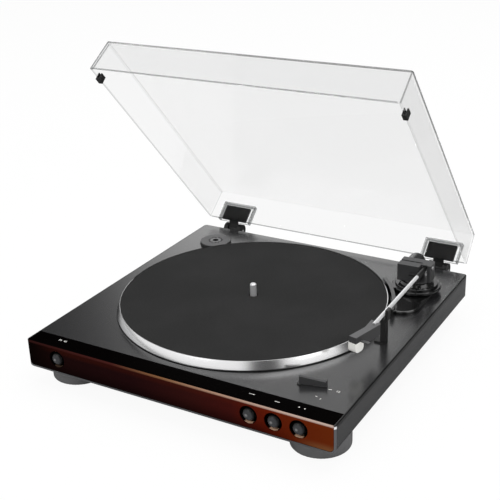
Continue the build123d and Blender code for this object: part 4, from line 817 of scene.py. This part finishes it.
def studio_room():
    """The room: white to the camera, an even light on matt surfaces, and panels that gloss and metal show.

    bearing is the angle of a direction round the player, 0 straight behind it and positive to the left, and
    rise its height. A panel stands behind, dark beyond its left end and dim at the right. Others fill the
    left, the front and the right, with a dark gap near the photographer, and one hangs above."""
    world = bpy.data.worlds.new("studio")
    bpy.context.scene.world = world
    world.use_nodes = True
    room = Tree(world.node_tree)
    path = room.node("ShaderNodeLightPath").socket.node.outputs
    right, rear, rise = room.axes(room.node("ShaderNodeTexCoord", output="Generated"))
    bearing = room.angle(right * -1, rear)
    gap_bearing = -2.475
    matt_light = 0.55
    behind = room.between(bearing, 0.62, 0.71, 0.7, 0.02) * room.between(bearing, -0.5, -0.1, 0.15, 1.0)
    behind = behind * room.between(rise, 0.5, 0.39, 1.0, 2.1) * room.between(bearing, 0.29, 0.36, 0.35, 1.0)
    ahead = room.between(bearing, 1.05, 1.35) + room.between(bearing, -1.3, -1.5)
    ahead = ahead * room.between(room.size(bearing - gap_bearing), 0.13, 0.32)
    above = room.between(rise, 0.6, 0.85, 0.0, 0.8)
    panels = room.larger(room.larger(behind, ahead), above)
    bounced = room.between(Value(room, path["Glossy Depth"]), 0.0, 1.0)
    seen = Value(room, path["Is Camera Ray"]) + Value(room, path["Is Transmission Ray"]) * (1 - bounced)
    mirrored = room.between(Value(room, path["Is Glossy Ray"]) + bounced, 0.0, 1.0)
    strength = seen + (1 - seen) * (mirrored * panels + (1 - mirrored) * matt_light)
    backdrop = world.node_tree.nodes["Background"]
    backdrop.inputs["Color"].default_value = (1, 1, 1, 1)
    world.node_tree.links.new(strength.socket, backdrop.inputs["Strength"])


def softbox(name, place, width, length, power):
    """A large soft lamp at place, facing the spindle, hidden from the camera."""
    lamp = bpy.data.lights.new(name, "AREA")
    lamp.shape = "RECTANGLE"
    lamp.size = width
    lamp.size_y = length
    lamp.energy = power
    holder = bpy.data.objects.new(name, lamp)
    holder.location = place
    holder.rotation_euler = (-Vector(place)).to_track_quat("-Z", "Y").to_euler()
    holder.visible_camera = False
    bpy.context.scene.collection.objects.link(holder)


def photo_camera():
    """The photograph's camera at place: turned to the right by swing, raised by tilt, rolled by roll."""
    place = (0.5124, -0.8636, 0.4919)
    swing, tilt, roll = np.radians([30.8, 23.57, -2.06])
    back = Vector((math.sin(swing) * math.cos(tilt), -math.cos(swing) * math.cos(tilt), math.sin(tilt)))
    right = Vector((math.cos(swing), math.sin(swing), 0))
    up = back.cross(right)
    level_right = right * math.cos(roll) + up * math.sin(roll)
    level_up = up * math.cos(roll) - right * math.sin(roll)
    lens = bpy.data.cameras.new("photo_camera")
    lens.lens = 72.55
    lens.sensor_width = 36
    lens.clip_start = 0.01
    holder = bpy.data.objects.new("photo_camera", lens)
    turn = Matrix((level_right, level_up, back)).transposed().to_4x4()
    holder.matrix_world = Matrix.Translation(place) @ turn
    bpy.context.scene.collection.objects.link(holder)
    bpy.context.scene.camera = holder


studio_floor()
studio_room()
softbox("top_light", (0.2, 0.5, 2.2), width=2.4, length=2.0, power=32)
softbox("side_light", (1.9, -0.4, 1.3), width=1.2, length=1.6, power=6)
softbox("front_light", (-0.8, -2.0, 1.5), width=1.4, length=1.2, power=12)
photo_camera()
bpy.context.scene.view_settings.view_transform = "Standard"
